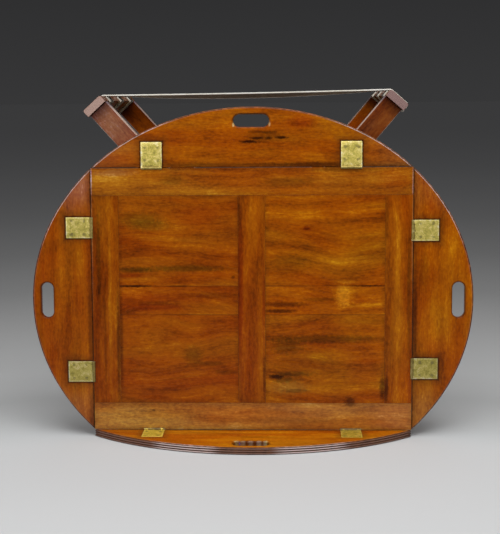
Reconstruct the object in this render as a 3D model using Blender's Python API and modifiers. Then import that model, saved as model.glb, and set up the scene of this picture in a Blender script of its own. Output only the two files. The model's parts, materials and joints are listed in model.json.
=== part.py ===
"""A butler tray with four hinged flaps, leaning on its own folding stand.

The tray stands on its raised front flap, which lies on the floor, and leans back against
the stand. Its other flaps are open, so that tray and flaps make an oval. The stand is two
frames crossed at a pivot, held open by webbing straps round their rails.

Units are metres and +Z is up. The origin is on the floor, under the middle of the set.
"""
import bmesh
import bpy
from collections import namedtuple
from math import asin, cos, pi, radians, sin, sqrt, tan
from mathutils import Matrix, Vector

# Fits shared by all pieces
GAP = 0.0003              # between pieces that touch on the real tray
SEAM = 0.0008             # between the panel's edge and a flap
OVERRUN = 0.004           # how far a cutter runs past the face that it opens
WELD = 0.00002            # merge distance
EASE = 0.0015             # chamfer on the stand's long edges

# Tray panel
PANEL_LENGTH = 0.706
PANEL_DEPTH = 0.582
BOARD_THICKNESS = 0.016
FRAME_BOARD_WIDTH = 0.060
TENON_WIDTH = 0.036
TENON_LENGTH = 0.025
TENON_THICKNESS = 0.0054
TONGUE_DEPTH = 0.006
TONGUE_THICKNESS = 0.0054

# Oval outline and its reeded rim
OUTLINE_HALF_LENGTH = 0.4865
REED_COUNT = 3
REED_DEPTH = 0.0022
RIM_LIP = 0.0005          # flat above and below the reeds
REED_STEPS = 4
OUTLINE_STEPS = 100

# Hand holes
HAND_HOLE_LENGTH = 0.078
HAND_HOLE_WIDTH = 0.027
LONG_FLAP_HOLE_MARGIN = 0.0165
SIDE_FLAP_HOLE_MARGIN = 0.019
HAND_HOLE_STEPS = 8

# Flap hinges
LEAF_WIDTH = 0.046        # along the hinge's axis
LEAF_LENGTH = 0.0565      # from the axis to the end of the flap's leaf
TRAY_LEAF_LENGTH = 0.0138
LEAF_THICKNESS = 0.0016
PIN_RADIUS = 0.0013
KNUCKLES = 5
LONG_SIDE_HINGE_PLACE = 0.2187
LEFT_SIDE_HINGE_PLACE = 0.1605
RIGHT_SIDE_HINGE_PLACE = 0.153
BARREL_STEPS = 12
BARREL_RADIUS = PIN_RADIUS + GAP + LEAF_THICKNESS

# Hinge screws
SCREW_RADIUS = 0.0016
LEAF_SCREW_LENGTH = 0.012
TRAY_SCREW_LENGTH = 0.020
SCREW_TIP = 0.002
SCREW_STEPS = 6
LEAF_SCREW_COLUMN = 0.0145            # either side of the leaf's middle
LEAF_SCREW_ROW_SHARES = (0.30, 0.78)  # of the flap leaf's length
TRAY_SCREW_ROW_SHARE = 0.66           # of the tray leaf's length

# Flat springs under the flap leaves
SPRING_WIDTH = 0.010
SPRING_LENGTH = 0.036
SPRING_THICKNESS = 0.0006

# Stand
PIVOT_HEIGHT = 0.3615
PIVOT_PLACE = -0.0065     # the pivot's X, a little left of the tray's middle
LEG_LEAN = radians(41.3)  # from the stand's middle plane
STAND_TURN = radians(0.8)  # that plane leans this much to the left
LEG_REACH = 0.4915        # pivot to the shoulder under the rail
LEG_WIDTH = 0.048
LEG_THICKNESS = 0.024
LEG_CLEARANCE = 0.0006    # between an outer leg and its inner leg
STAND_DEPTH = 0.469       # over the outer legs
LEG_TENON_WIDTH = 0.028
LEG_TENON_LENGTH = 0.011
LEG_TENON_THICKNESS = 0.011
RAIL_THICKNESS = 0.018
RAIL_ROUNDING = 0.005
RAIL_OVERHANG = 0.004     # past the legs' outer edges
RAIL_PROUD = 0.005        # past the legs' front and rear faces
STRETCHER_REACH = 0.380   # pivot to the stretcher's middle
STRETCHER_WIDTH = 0.032
STRETCHER_THICKNESS = 0.020
STRETCHER_TENON_WIDTH = 0.020
STRETCHER_TENON_LENGTH = 0.014
STRETCHER_TENON_THICKNESS = 0.010
CORNER_STEPS = 3

# Pivot bolts
BOLT_RADIUS = 0.004
BOLT_HEAD_RADIUS = 0.010
BOLT_HEAD_HEIGHT = 0.004
BOLT_PROUD = 0.002        # past the nut
WASHER_RADIUS = 0.011
WASHER_THICKNESS = 0.0015
NUT_RADIUS = 0.0078
NUT_THICKNESS = 0.0055
BOLT_STEPS = 16
NUT_SIDES = 6
BOLT_HEAD_SHARES = ((0.0, 1.0), (0.45, 0.9), (0.8, 0.55), (1.0, 0.0))  # of its radius, height

# Straps
STRAP_WIDTH = 0.050
STRAP_THICKNESS = 0.0025
STRAP_SAG = 0.0015
STRAP_END = 0.0125        # how far a nailed end reaches up the rail's inner edge
STRAP_RUN_STEPS = 6
STRAP_SHARES = (0.16, 0.5, 0.84)      # of the stand's depth

# How the tray stands
TRAY_LEAN = radians(3.2)
HALVINGS = 40             # of the quarter turn in which the tray meets its stand

# Sizes that follow
OUTLINE_HALF_DEPTH = PANEL_DEPTH / 2 / sqrt(1 - (PANEL_LENGTH / 2 / OUTLINE_HALF_LENGTH) ** 2)
FRONT_FLAP_REACH = OUTLINE_HALF_DEPTH - PANEL_DEPTH / 2
SPRING_TOP = -(LEAF_THICKNESS + GAP)
SPRING_START = sqrt((BARREL_RADIUS + GAP) ** 2 - SPRING_TOP ** 2)
RAIL_INNER_FACE = LEG_REACH + GAP
RAIL_OUTER_FACE = RAIL_INNER_FACE + RAIL_THICKNESS
INNER_LEG_START = LEG_THICKNESS + LEG_CLEARANCE

# Colour, roughness and metallic value of each finish
Finish = namedtuple("Finish", "name color roughness metallic")
MAHOGANY = Finish("mahogany", (0.30, 0.085, 0.012, 1), 0.35, 0)
STAND_WOOD = Finish("stand_wood", (0.13, 0.03, 0.012, 1), 0.35, 0)
BRASS = Finish("brass", (0.56, 0.48, 0.16, 1), 0.38, 1)
STEEL = Finish("steel", (0.35, 0.34, 0.32, 1), 0.45, 1)
WEBBING = Finish("webbing", (0.75, 0.71, 0.60, 1), 0.9, 0)

# A flap's side of the tray. Its hinge line is at place in the tray's frame, turned about the
# tray's normal, so that +Y there points out of the tray. The oval's middle lies middle_offset
# behind the line, and its half axes there are along the line and outward.
Side = namedtuple("Side", "name turn place middle_offset along outward hinge_place raised margin")
SIDES = (
    Side("back", 0, (0, PANEL_DEPTH, 0), PANEL_DEPTH / 2, OUTLINE_HALF_LENGTH,
         OUTLINE_HALF_DEPTH, LONG_SIDE_HINGE_PLACE, 0, LONG_FLAP_HOLE_MARGIN),
    Side("front", pi, (0, 0, 0), PANEL_DEPTH / 2, OUTLINE_HALF_LENGTH,
         OUTLINE_HALF_DEPTH, LONG_SIDE_HINGE_PLACE, pi / 2 - TRAY_LEAN, LONG_FLAP_HOLE_MARGIN),
    Side("left", pi / 2, (-PANEL_LENGTH / 2, PANEL_DEPTH / 2, 0), PANEL_LENGTH / 2,
         OUTLINE_HALF_DEPTH, OUTLINE_HALF_LENGTH, LEFT_SIDE_HINGE_PLACE, 0,
         SIDE_FLAP_HOLE_MARGIN),
    Side("right", -pi / 2, (PANEL_LENGTH / 2, PANEL_DEPTH / 2, 0), PANEL_LENGTH / 2,
         OUTLINE_HALF_DEPTH, OUTLINE_HALF_LENGTH, RIGHT_SIDE_HINGE_PLACE, 0,
         SIDE_FLAP_HOLE_MARGIN),
)

# Turns that lay a shape, modelled in the XY plane or about Z, in another plane or axis
TO_XZ_PLANE = Matrix.Rotation(pi / 2, 4, "X")
TO_YZ_PLANE = Matrix(((0, 0, 1, 0), (1, 0, 0, 0), (0, 1, 0, 0), (0, 0, 0, 1)))
PLATE_DOWN = Matrix.Rotation(-pi / 2, 4, "X")


def fresh_collections():
    """Empty the scene and make a collection for the pieces and one for their cutters."""
    for old in list(bpy.data.objects):
        bpy.data.objects.remove(old)
    made = [bpy.data.collections.new(name) for name in ("butler_tray", "cutters")]
    for collection in made:
        bpy.context.scene.collection.children.link(collection)
    return made


PIECES, CUTTERS = fresh_collections()


# Shapes

def block_mesh(x_span, y_span, z_span):
    """A block between the two ends given for each axis."""
    spans = (x_span, y_span, z_span)
    shape = bmesh.new()
    bmesh.ops.create_cube(shape, size=1)
    bmesh.ops.scale(shape, verts=shape.verts, vec=[high - low for low, high in spans])
    bmesh.ops.translate(shape, verts=shape.verts, vec=[(low + high) / 2 for low, high in spans])
    return finished_mesh(shape)


def rod_mesh(radius, length, sides):
    """A round rod along X, about its middle."""
    shape = bmesh.new()
    bmesh.ops.create_cone(shape, cap_ends=True, segments=sides, radius1=radius,
                          radius2=radius, depth=length, matrix=Matrix.Rotation(pi / 2, 4, "Y"))
    return finished_mesh(shape)


def turned_mesh(profile, steps):
    """A profile of (radius, height) points, listed from top to bottom, turned about Z."""
    mesh = bpy.data.meshes.new("profile")
    edges = [(i, i + 1) for i in range(len(profile) - 1)]
    mesh.from_pydata([(radius, 0, height) for radius, height in profile], edges, [])
    source = bpy.data.objects.new("profile", mesh)
    turn = source.modifiers.new("Turn", "SCREW")
    turn.steps = turn.render_steps = steps
    turn.use_merge_vertices = True
    turn.merge_threshold = WELD
    return baked_mesh(source)


def outline_mesh(loops, thickness):
    """A plate in the XY plane, cut to an outline, with any holes as further loops."""
    curve = bpy.data.curves.new("outline", "CURVE")
    curve.dimensions = "2D"
    curve.fill_mode = "BOTH"
    curve.extrude = thickness / 2
    for loop in loops:
        spline = curve.splines.new("POLY")
        spline.points.add(len(loop) - 1)
        for point, (x, y) in zip(spline.points, loop):
            point.co = (x, y, 0, 1)
        spline.use_cyclic_u = True
    return baked_mesh(bpy.data.objects.new("outline", curve))


def baked_mesh(source):
    """The evaluated mesh of a source object, welded; the source is then removed."""
    CUTTERS.objects.link(source)
    graph = bpy.context.evaluated_depsgraph_get()
    mesh = bpy.data.meshes.new_from_object(source.evaluated_get(graph))
    bpy.data.objects.remove(source)
    shape = bmesh.new()
    shape.from_mesh(mesh)
    bmesh.ops.remove_doubles(shape, verts=shape.verts, dist=WELD)
    return finished_mesh(shape)


def finished_mesh(shape):
    """A mesh from a bmesh, shaded smooth but for its sharp edges."""
    mesh = bpy.data.meshes.new("shape")
    shape.to_mesh(mesh)
    shape.free()
    mesh.shade_smooth()
    mesh.set_sharp_from_angle(angle=radians(30))
    return mesh


def moved_mesh(mesh, *matrices):
    """One mesh that holds a copy of another at each matrix."""
    shape = bmesh.new()
    for matrix in matrices:
        known = set(shape.verts)
        shape.from_mesh(mesh)
        bmesh.ops.transform(shape, matrix=matrix,
                            verts=[vert for vert in shape.verts if vert not in known])
    return finished_mesh(shape)


def arc(centre, radius, start, end, steps):
    """Points on a circle from one angle to another, both ends included."""
    angles = [start + (end - start) * i / steps for i in range(steps + 1)]
    return [(centre[0] + radius * cos(angle), centre[1] + radius * sin(angle))
            for angle in angles]


def circle(radius, sides):
    """A closed loop of points about the origin."""
    return arc((0, 0), radius, 0, 2 * pi, sides)[:-1]


def ribbon(path, thickness):
    """The outline of a band of even thickness along a path."""
    near, far = [], []
    for i, point in enumerate(path):
        before = Vector(path[max(i - 1, 0)])
        here = Vector(point)
        after = Vector(path[min(i + 1, len(path) - 1)])
        ahead = (after - here) if i + 1 < len(path) else (here - before)
        behind = (here - before) if i else (after - here)
        along = (ahead.normalized() + behind.normalized()).normalized()
        spread = thickness / 2 / along.dot(ahead.normalized())
        across = Vector((-along.y, along.x)) * spread
        near.append(tuple(here + across))
        far.append(tuple(here - across))
    return near + far[::-1]


# Objects

def empty(name, parent=None, location=(0, 0, 0), rotation=(0, 0, 0)):
    """A frame that pieces hang from."""
    made = bpy.data.objects.new(name, None)
    made.parent = parent
    made.location = location
    made.rotation_euler = rotation
    PIECES.objects.link(made)
    return made


def piece(name, mesh, parent, finish, location=(0, 0, 0)):
    """A named sub-part with its own material."""
    made = bpy.data.objects.new(name, mesh)
    mesh.name = name
    made.parent = parent
    made.location = location
    material = bpy.data.materials.new(name + "_" + finish.name)
    material.use_nodes = True
    shader = material.node_tree.nodes["Principled BSDF"]
    shader.inputs["Base Color"].default_value = finish.color
    shader.inputs["Roughness"].default_value = finish.roughness
    shader.inputs["Metallic"].default_value = finish.metallic
    mesh.materials.append(material)
    PIECES.objects.link(made)
    return made


def tool(name, mesh, parent, location=(0, 0, 0)):
    """A hidden shape that cuts or extends a piece."""
    made = bpy.data.objects.new(name, mesh)
    mesh.name = name
    made.parent = parent
    made.location = location
    made.hide_render = True
    made.display_type = "WIRE"
    CUTTERS.objects.link(made)
    return made


def shape_with(target, shaper, operation):
    """Cut, extend or trim a piece with a tool."""
    boolean = target.modifiers.new(shaper.name, "BOOLEAN")
    boolean.operation = operation
    boolean.solver = "EXACT"
    boolean.object = shaper


def ease_edges(target):
    """Chamfer a stand piece's edges."""
    bevel = target.modifiers.new("Ease", "BEVEL")
    bevel.width = EASE
    bevel.segments = 1
    bevel.limit_method = "ANGLE"


def about(middle, width):
    """The two ends of a span of a width about its middle."""
    return (middle - width / 2, middle + width / 2)


# Tray panel

BOARD_SPAN = (-BOARD_THICKNESS, 0)
OPENING_FRONT = FRAME_BOARD_WIDTH
OPENING_BACK = PANEL_DEPTH - FRAME_BOARD_WIDTH
STILE_PLACE = (PANEL_LENGTH - FRAME_BOARD_WIDTH) / 2
UPRIGHTS = (("left_stile", -STILE_PLACE, (1,)), ("muntin", 0, (-1, 1)),
            ("right_stile", STILE_PLACE, (-1,)))
PANELS = (("left", -STILE_PLACE + FRAME_BOARD_WIDTH / 2, -FRAME_BOARD_WIDTH / 2),
          ("right", FRAME_BOARD_WIDTH / 2, STILE_PLACE - FRAME_BOARD_WIDTH / 2))


def tray_rails(tray):
    """Front and back rail, with mortises for the uprights and a groove for each panel."""
    tenon_height = about(-BOARD_THICKNESS / 2, TENON_THICKNESS + 2 * GAP)
    groove_height = about(-BOARD_THICKNESS / 2, TONGUE_THICKNESS + 2 * GAP)
    rails = {}
    for name, outer, edge, inward in (("front_rail", 0, OPENING_FRONT, 1),
                                      ("back_rail", PANEL_DEPTH, OPENING_BACK, -1)):
        across = sorted((outer, edge))
        rail = piece(name, block_mesh(about(0, PANEL_LENGTH), across, BOARD_SPAN), tray, MAHOGANY)
        mortise_span = sorted((edge + inward * OVERRUN, edge - inward * (TENON_LENGTH + GAP)))
        for upright, place, _ in UPRIGHTS:
            mortise = block_mesh(about(place, TENON_WIDTH + 2 * GAP), mortise_span, tenon_height)
            shape_with(rail, tool(f"{name}_{upright}_mortise", mortise, tray), "DIFFERENCE")
        groove_span = sorted((edge + inward * OVERRUN, edge - inward * (TONGUE_DEPTH + GAP)))
        for side, start, end in PANELS:
            groove = block_mesh((start, end), groove_span, groove_height)
            shape_with(rail, tool(f"{name}_{side}_groove", groove, tray), "DIFFERENCE")
        rails[name] = rail
    return rails


def tray_uprights(tray):
    """Stiles and muntin: tenoned into the rails and grooved for the panels."""
    uprights = {}
    length_span = (OPENING_FRONT + GAP, OPENING_BACK - GAP)
    tenon_span = (length_span[0] - TENON_LENGTH, length_span[1] + TENON_LENGTH)
    groove_span = (length_span[0] - OVERRUN, length_span[1] + OVERRUN)
    for name, place, grooved_sides in UPRIGHTS:
        body = block_mesh(about(place, FRAME_BOARD_WIDTH), length_span, BOARD_SPAN)
        upright = piece(name, body, tray, MAHOGANY)
        tenon = block_mesh(about(place, TENON_WIDTH), tenon_span,
                           about(-BOARD_THICKNESS / 2, TENON_THICKNESS))
        shape_with(upright, tool(name + "_tenon", tenon, tray), "UNION")
        for side in grooved_sides:
            edge = place + side * FRAME_BOARD_WIDTH / 2
            width_span = sorted((edge - side * (TONGUE_DEPTH + GAP), edge + side * OVERRUN))
            groove = block_mesh(width_span, groove_span,
                                about(-BOARD_THICKNESS / 2, TONGUE_THICKNESS + 2 * GAP))
            shape_with(upright, tool(f"{name}_groove_{side}", groove, tray), "DIFFERENCE")
        uprights[name] = upright
    return uprights


def panels(tray):
    """The two glued-up panels, each with a tongue into the frame all round."""
    y_span = (OPENING_FRONT + GAP, OPENING_BACK - GAP)
    tongue_height = about(-BOARD_THICKNESS / 2, TONGUE_THICKNESS)
    for side, start, end in PANELS:
        x_span = (start + GAP, end - GAP)
        name = side + "_panel"
        panel = piece(name, block_mesh(x_span, y_span, BOARD_SPAN), tray, MAHOGANY)
        wide = (x_span[0] - TONGUE_DEPTH, x_span[1] + TONGUE_DEPTH)
        deep = (y_span[0] - TONGUE_DEPTH, y_span[1] + TONGUE_DEPTH)
        for label, spans in (("side", (wide, y_span)), ("end", (x_span, deep))):
            tongues = tool(f"{name}_{label}_tongues", block_mesh(*spans, tongue_height), tray)
            shape_with(panel, tongues, "UNION")


# Hinges: in a hinge's frame the axis is X, +Y points out of the tray and +Z is the tray's normal

def leaf_section(length):
    """A plate whose top is level with the pin, rolled into a barrel round it."""
    root = -asin(LEAF_THICKNESS / BARREL_RADIUS)
    barrel = arc((0, 0), BARREL_RADIUS, root, -2 * pi, BARREL_STEPS)[:-1]
    return [(BARREL_RADIUS, 0), (length, 0), (length, -LEAF_THICKNESS), *barrel]


def screws_mesh(length, places, margin=0):
    """The shanks of a leaf's screws, points down, or their holes where a margin is given."""
    radius = SCREW_RADIUS + margin
    profile = [(0, -LEAF_THICKNESS / 2), (radius, -LEAF_THICKNESS / 2),
               (radius, SCREW_TIP - length), (0, -length - margin)]
    return moved_mesh(turned_mesh(profile, SCREW_STEPS), *places)


FLAP_SCREW_PLACES = [Matrix.Translation((column, LEAF_LENGTH * row, 0))
                     for column in (-LEAF_SCREW_COLUMN, LEAF_SCREW_COLUMN)
                     for row in LEAF_SCREW_ROW_SHARES]
TRAY_SCREW_PLACES = [PLATE_DOWN @ Matrix.Translation((column, TRAY_SCREW_ROW_SHARE
                                                      * TRAY_LEAF_LENGTH, 0))
                     for column in (-LEAF_SCREW_COLUMN, LEAF_SCREW_COLUMN)]


def hinge_leaf(name, parent, location, length, own_knuckles, screws, turn=Matrix()):
    """A leaf with its knuckles, a bore for the pin and its screws, which are one with it."""
    section = outline_mesh([leaf_section(length)], LEAF_WIDTH)
    leaf = piece(name, moved_mesh(section, turn @ TO_YZ_PLANE), parent, BRASS, location)
    pitch = LEAF_WIDTH / KNUCKLES
    reach = BARREL_RADIUS + OVERRUN
    for knuckle in range(KNUCKLES):
        if knuckle in own_knuckles:
            continue
        start = -LEAF_WIDTH / 2 + knuckle * pitch - GAP / 2
        end = start + pitch + GAP
        start -= OVERRUN * (knuckle == 0)
        end += OVERRUN * (knuckle == KNUCKLES - 1)
        notch = block_mesh((start, end), (-reach, BARREL_RADIUS + GAP), (-reach, reach))
        notch_tool = tool(f"{name}_notch_{knuckle}", moved_mesh(notch, turn), parent, location)
        shape_with(leaf, notch_tool, "DIFFERENCE")
    bore = rod_mesh(PIN_RADIUS + GAP, LEAF_WIDTH + 2 * OVERRUN, BARREL_STEPS)
    shape_with(leaf, tool(name + "_bore", bore, parent, location), "DIFFERENCE")
    shape_with(leaf, tool(name + "_screws", screws, parent, location), "UNION")


def hinge_places(side):
    """The two hinges of a side, by the end of its hinge line that they are at."""
    return (("a", -side.hinge_place), ("b", side.hinge_place))


def pair_at_hinges(side, shape):
    """Copies of a cutter's shape at both hinges of a side."""
    return moved_mesh(shape, *[Matrix.Translation((place, 0, 0))
                               for _, place in hinge_places(side)])


def cut_hinge_seats(side, board, frame, plate_turn, plate_length, screw_length, places):
    """The recess, barrel groove and screw holes in a board for the leaves on it."""
    half = LEAF_WIDTH / 2 + GAP
    recess = block_mesh((-half, half), (-OVERRUN, plate_length + GAP),
                        (-LEAF_THICKNESS - GAP, OVERRUN))
    groove = rod_mesh(BARREL_RADIUS + GAP, 2 * half, BARREL_STEPS)
    holes = screws_mesh(screw_length, places, GAP)
    for label, shape in (("recess", moved_mesh(recess, plate_turn)), ("groove", groove),
                         ("screw_holes", holes)):
        seat = tool(f"{board.name}_{label}", pair_at_hinges(side, shape), frame)
        shape_with(board, seat, "DIFFERENCE")


def tray_side_of_hinges(side, line, edge_board):
    """The tray's leaves and pins, and their seats in the panel's edge."""
    cut_hinge_seats(side, edge_board, line, PLATE_DOWN, TRAY_LEAF_LENGTH, TRAY_SCREW_LENGTH,
                    TRAY_SCREW_PLACES)
    screws = screws_mesh(TRAY_SCREW_LENGTH, TRAY_SCREW_PLACES)
    for label, place in hinge_places(side):
        hinge_leaf(f"{side.name}_tray_leaf_{label}", line, (place, 0, 0), TRAY_LEAF_LENGTH,
                   range(1, KNUCKLES, 2), screws.copy(), PLATE_DOWN)
        pin = rod_mesh(PIN_RADIUS, LEAF_WIDTH, BARREL_STEPS)
        piece(f"{side.name}_hinge_pin_{label}", pin, line, BRASS, (place, 0, 0))


# Flaps

def rim_profile():
    """Half the section of a round board with a reeded edge, at the oval's half length."""
    valley = OUTLINE_HALF_LENGTH - REED_DEPTH
    reed_height = (BOARD_THICKNESS - 2 * RIM_LIP) / REED_COUNT
    points = [(0, 0), (valley, 0)]
    for reed in range(REED_COUNT):
        middle = -RIM_LIP - (reed + 1 / 2) * reed_height
        for step in range(REED_STEPS + 1):
            if reed and step == 0:
                continue
            angle = pi / 2 - pi * step / REED_STEPS
            points.append((valley + REED_DEPTH * cos(angle),
                           middle + reed_height / 2 * sin(angle)))
    return points + [(valley, -BOARD_THICKNESS), (0, -BOARD_THICKNESS)]


def hand_hole_mesh():
    """A round-ended slot through the board, along X."""
    radius = HAND_HOLE_WIDTH / 2
    straight = HAND_HOLE_LENGTH / 2 - radius
    loop = (arc((straight, 0), radius, -pi / 2, pi / 2, HAND_HOLE_STEPS)
            + arc((-straight, 0), radius, pi / 2, 3 * pi / 2, HAND_HOLE_STEPS))
    return outline_mesh([loop], 2 * (BOARD_THICKNESS + OVERRUN))


def flap(side, line):
    """A flap on its hinge line: board, leaves, screws and springs."""
    frame = empty(side.name + "_flap_frame", line, rotation=(side.raised, 0, 0))
    name = side.name + "_flap"
    to_oval = Matrix.Diagonal((side.along / OUTLINE_HALF_LENGTH,
                               side.outward / OUTLINE_HALF_LENGTH, 1, 1))
    oval = moved_mesh(turned_mesh(rim_profile(), OUTLINE_STEPS), to_oval)
    middle = (0, -side.middle_offset, 0)
    board = piece(name + "_board", moved_mesh(oval, Matrix.Translation(middle)), frame, MAHOGANY)
    keep = block_mesh(about(0, 2 * (side.along + OVERRUN)), (SEAM, side.outward),
                      (-BOARD_THICKNESS - OVERRUN, OVERRUN))
    shape_with(board, tool(name + "_extent", keep, frame), "INTERSECT")
    hole_place = side.outward - side.middle_offset - side.margin - HAND_HOLE_WIDTH / 2
    hole = tool(name + "_hand_hole", hand_hole_mesh(), frame, (0, hole_place, 0))
    shape_with(board, hole, "DIFFERENCE")
    cut_hinge_seats(side, board, frame, Matrix(), LEAF_LENGTH, LEAF_SCREW_LENGTH,
                    FLAP_SCREW_PLACES)
    screws = screws_mesh(LEAF_SCREW_LENGTH, FLAP_SCREW_PLACES)
    for label, place in hinge_places(side):
        hinge_leaf(f"{name}_leaf_{label}", frame, (place, 0, 0), LEAF_LENGTH,
                   range(0, KNUCKLES, 2), screws.copy())
    flap_springs(side, name, frame, board)


def flap_springs(side, name, frame, board):
    """A flat spring under each leaf, let into the board, its end close to the barrel."""
    low = SPRING_TOP - SPRING_THICKNESS
    end = SPRING_START + SPRING_LENGTH
    for label, place in hinge_places(side):
        spring = block_mesh(about(0, SPRING_WIDTH), (SPRING_START, end), (low, SPRING_TOP))
        piece(f"{name}_spring_{label}", spring, frame, STEEL, (place, 0, 0))
    seat = block_mesh(about(0, SPRING_WIDTH + 2 * GAP), (-OVERRUN, end + GAP), (low - GAP, 0))
    seats = tool(name + "_spring_seats", pair_at_hinges(side, seat), frame)
    shape_with(board, seats, "DIFFERENCE")


def tray_and_flaps(place):
    """The whole tray: its own frame has X along it, Y up its face and Z out of the face."""
    tray = empty("tray_frame", None, place, (pi / 2 - TRAY_LEAN, 0, 0))
    rails = tray_rails(tray)
    uprights = tray_uprights(tray)
    panels(tray)
    edge_boards = (rails["back_rail"], rails["front_rail"], uprights["left_stile"],
                   uprights["right_stile"])
    lines = [empty(side.name + "_hinge_line", tray, side.place, (0, 0, side.turn))
             for side in SIDES]
    for side, line, edge_board in zip(SIDES, lines, edge_boards):
        tray_side_of_hinges(side, line, edge_board)
        flap(side, line)


# Stand: in a frame's own axes the pivot is the origin and Z runs up the legs

def leg(name, frame, tilt, start):
    """A leg from the floor to the rail, with a tenon at its top and holes for its joints."""
    half = LEG_WIDTH / 2
    foot = [(x, (x * sin(tilt) - PIVOT_HEIGHT) / cos(tilt)) for x in (-half, half)]
    loop = [*foot, (half, LEG_REACH), (-half, LEG_REACH)]
    middle = (0, start + LEG_THICKNESS / 2, 0)
    shape = moved_mesh(outline_mesh([loop], LEG_THICKNESS), TO_XZ_PLANE)
    made = piece(name, shape, frame, STAND_WOOD, middle)
    ease_edges(made)
    tenon = block_mesh(about(0, LEG_TENON_WIDTH), about(0, LEG_TENON_THICKNESS),
                       (LEG_REACH - OVERRUN, LEG_REACH + LEG_TENON_LENGTH))
    shape_with(made, tool(name + "_tenon", tenon, frame, middle), "UNION")
    hole = moved_mesh(rod_mesh(BOLT_RADIUS + GAP, LEG_THICKNESS + 2 * OVERRUN, BOLT_STEPS),
                      Matrix.Rotation(pi / 2, 4, "Z"))
    shape_with(made, tool(name + "_bolt_hole", hole, frame, middle), "DIFFERENCE")
    return made


def stretcher(name, frame, legs, start, end):
    """The lower bar between two legs, tenoned into both."""
    y_span = (start + GAP, end - GAP)
    bar = block_mesh(about(0, STRETCHER_THICKNESS), y_span,
                     about(-STRETCHER_REACH, STRETCHER_WIDTH))
    made = piece(name, bar, frame, STAND_WOOD)
    ease_edges(made)
    for label, margin in (("tenons", 0), ("mortises", GAP)):
        reach = STRETCHER_TENON_LENGTH + margin
        long_bar = block_mesh(about(0, STRETCHER_TENON_THICKNESS + 2 * margin),
                              (y_span[0] - reach, y_span[1] + reach),
                              about(-STRETCHER_REACH, STRETCHER_TENON_WIDTH + 2 * margin))
        shaper = tool(f"{name}_{label}", long_bar, frame)
        if margin:
            for joined_leg in legs:
                shape_with(joined_leg, shaper, "DIFFERENCE")
        else:
            shape_with(made, shaper, "UNION")


def rail_outline(turn):
    """The rail's section: square to the legs, its two top corners rounded.

    It overhangs the legs on the side of the stand that turn, 1 or -1, gives.
    """
    inner = LEG_WIDTH / 2
    outer = inner + RAIL_OVERHANG
    level = RAIL_OUTER_FACE - RAIL_ROUNDING
    loop = [(inner, RAIL_INNER_FACE),
            *arc((inner - RAIL_ROUNDING, level), RAIL_ROUNDING, 0, pi / 2, CORNER_STEPS),
            *arc((RAIL_ROUNDING - outer, level), RAIL_ROUNDING, pi / 2, pi, CORNER_STEPS),
            (-outer, RAIL_INNER_FACE)]
    return loop if turn > 0 else [(-across, along) for across, along in reversed(loop)]


def stand_rail(name, frame, turn, start, end, leg_starts):
    """The rail across the tops of two legs, with a blind mortise over each."""
    shape = outline_mesh([rail_outline(turn)], end - start + 2 * RAIL_PROUD)
    made = piece(name, moved_mesh(shape, TO_XZ_PLANE), frame, STAND_WOOD,
                 (0, (start + end) / 2, 0))
    for i, leg_start in enumerate(leg_starts):
        mortise = block_mesh(about(0, LEG_TENON_WIDTH + 2 * GAP),
                             about(leg_start + LEG_THICKNESS / 2, LEG_TENON_THICKNESS + 2 * GAP),
                             (LEG_REACH - OVERRUN, LEG_REACH + LEG_TENON_LENGTH + GAP))
        shape_with(made, tool(f"{name}_mortise_{i}", mortise, frame), "DIFFERENCE")


def stand_frame(name, stand, turn, start):
    """One of the two crossed frames. It runs from start to as far from the stand's back.

    turn is 1 for the frame whose top leans left and -1 for the other.
    """
    tilt = -turn * LEG_LEAN - STAND_TURN
    frame = empty(name + "_axis", stand, rotation=(0, tilt, 0))
    end = STAND_DEPTH - start
    leg_starts = (start, end - LEG_THICKNESS)
    legs = [leg(f"{name}_{place}_leg", frame, tilt, leg_start)
            for place, leg_start in zip(("front", "rear"), leg_starts)]
    stretcher(name + "_stretcher", frame, legs, start + LEG_THICKNESS, end - LEG_THICKNESS)
    stand_rail(name + "_rail", frame, turn, start, end, leg_starts)


def pivot_hardware(stand):
    """A bolt through each pair of crossed legs, head outward, with a washer and a nut."""
    legs_end = LEG_THICKNESS + INNER_LEG_START
    washer_end = legs_end + GAP + WASHER_THICKNESS
    nut_end = washer_end + GAP + NUT_THICKNESS
    head = [(BOLT_HEAD_RADIUS * radius, GAP + BOLT_HEAD_HEIGHT * height)
            for radius, height in BOLT_HEAD_SHARES]
    bolt = turned_mesh([*head, (BOLT_RADIUS, GAP), (BOLT_RADIUS, -nut_end - BOLT_PROUD),
                        (0, -nut_end - BOLT_PROUD)], BOLT_STEPS)
    bore = circle(BOLT_RADIUS + GAP, BOLT_STEPS)
    washer = outline_mesh([circle(WASHER_RADIUS, BOLT_STEPS), bore], WASHER_THICKNESS)
    nut = outline_mesh([circle(NUT_RADIUS, NUT_SIDES), bore], NUT_THICKNESS)
    to_rear = Matrix.Translation((0, STAND_DEPTH, 0)) @ Matrix.Rotation(pi, 4, "Z") @ TO_XZ_PLANE
    for place, turn in (("front", TO_XZ_PLANE), ("rear", to_rear)):
        at_washer = turn @ Matrix.Translation((0, 0, WASHER_THICKNESS / 2 - washer_end))
        at_nut = turn @ Matrix.Translation((0, 0, NUT_THICKNESS / 2 - nut_end))
        for label, shape, where in (("bolt", bolt, turn), ("washer", washer, at_washer),
                                    ("nut", nut, at_nut)):
            piece(f"{place}_pivot_{label}", moved_mesh(shape, where), stand, STEEL)


def left_rail_point(along, across):
    """A point of the outer frame's section, in axes along the stand's middle plane."""
    return Vector((across * cos(LEG_LEAN) - along * sin(LEG_LEAN),
                   along * cos(LEG_LEAN) + across * sin(LEG_LEAN)))


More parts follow.
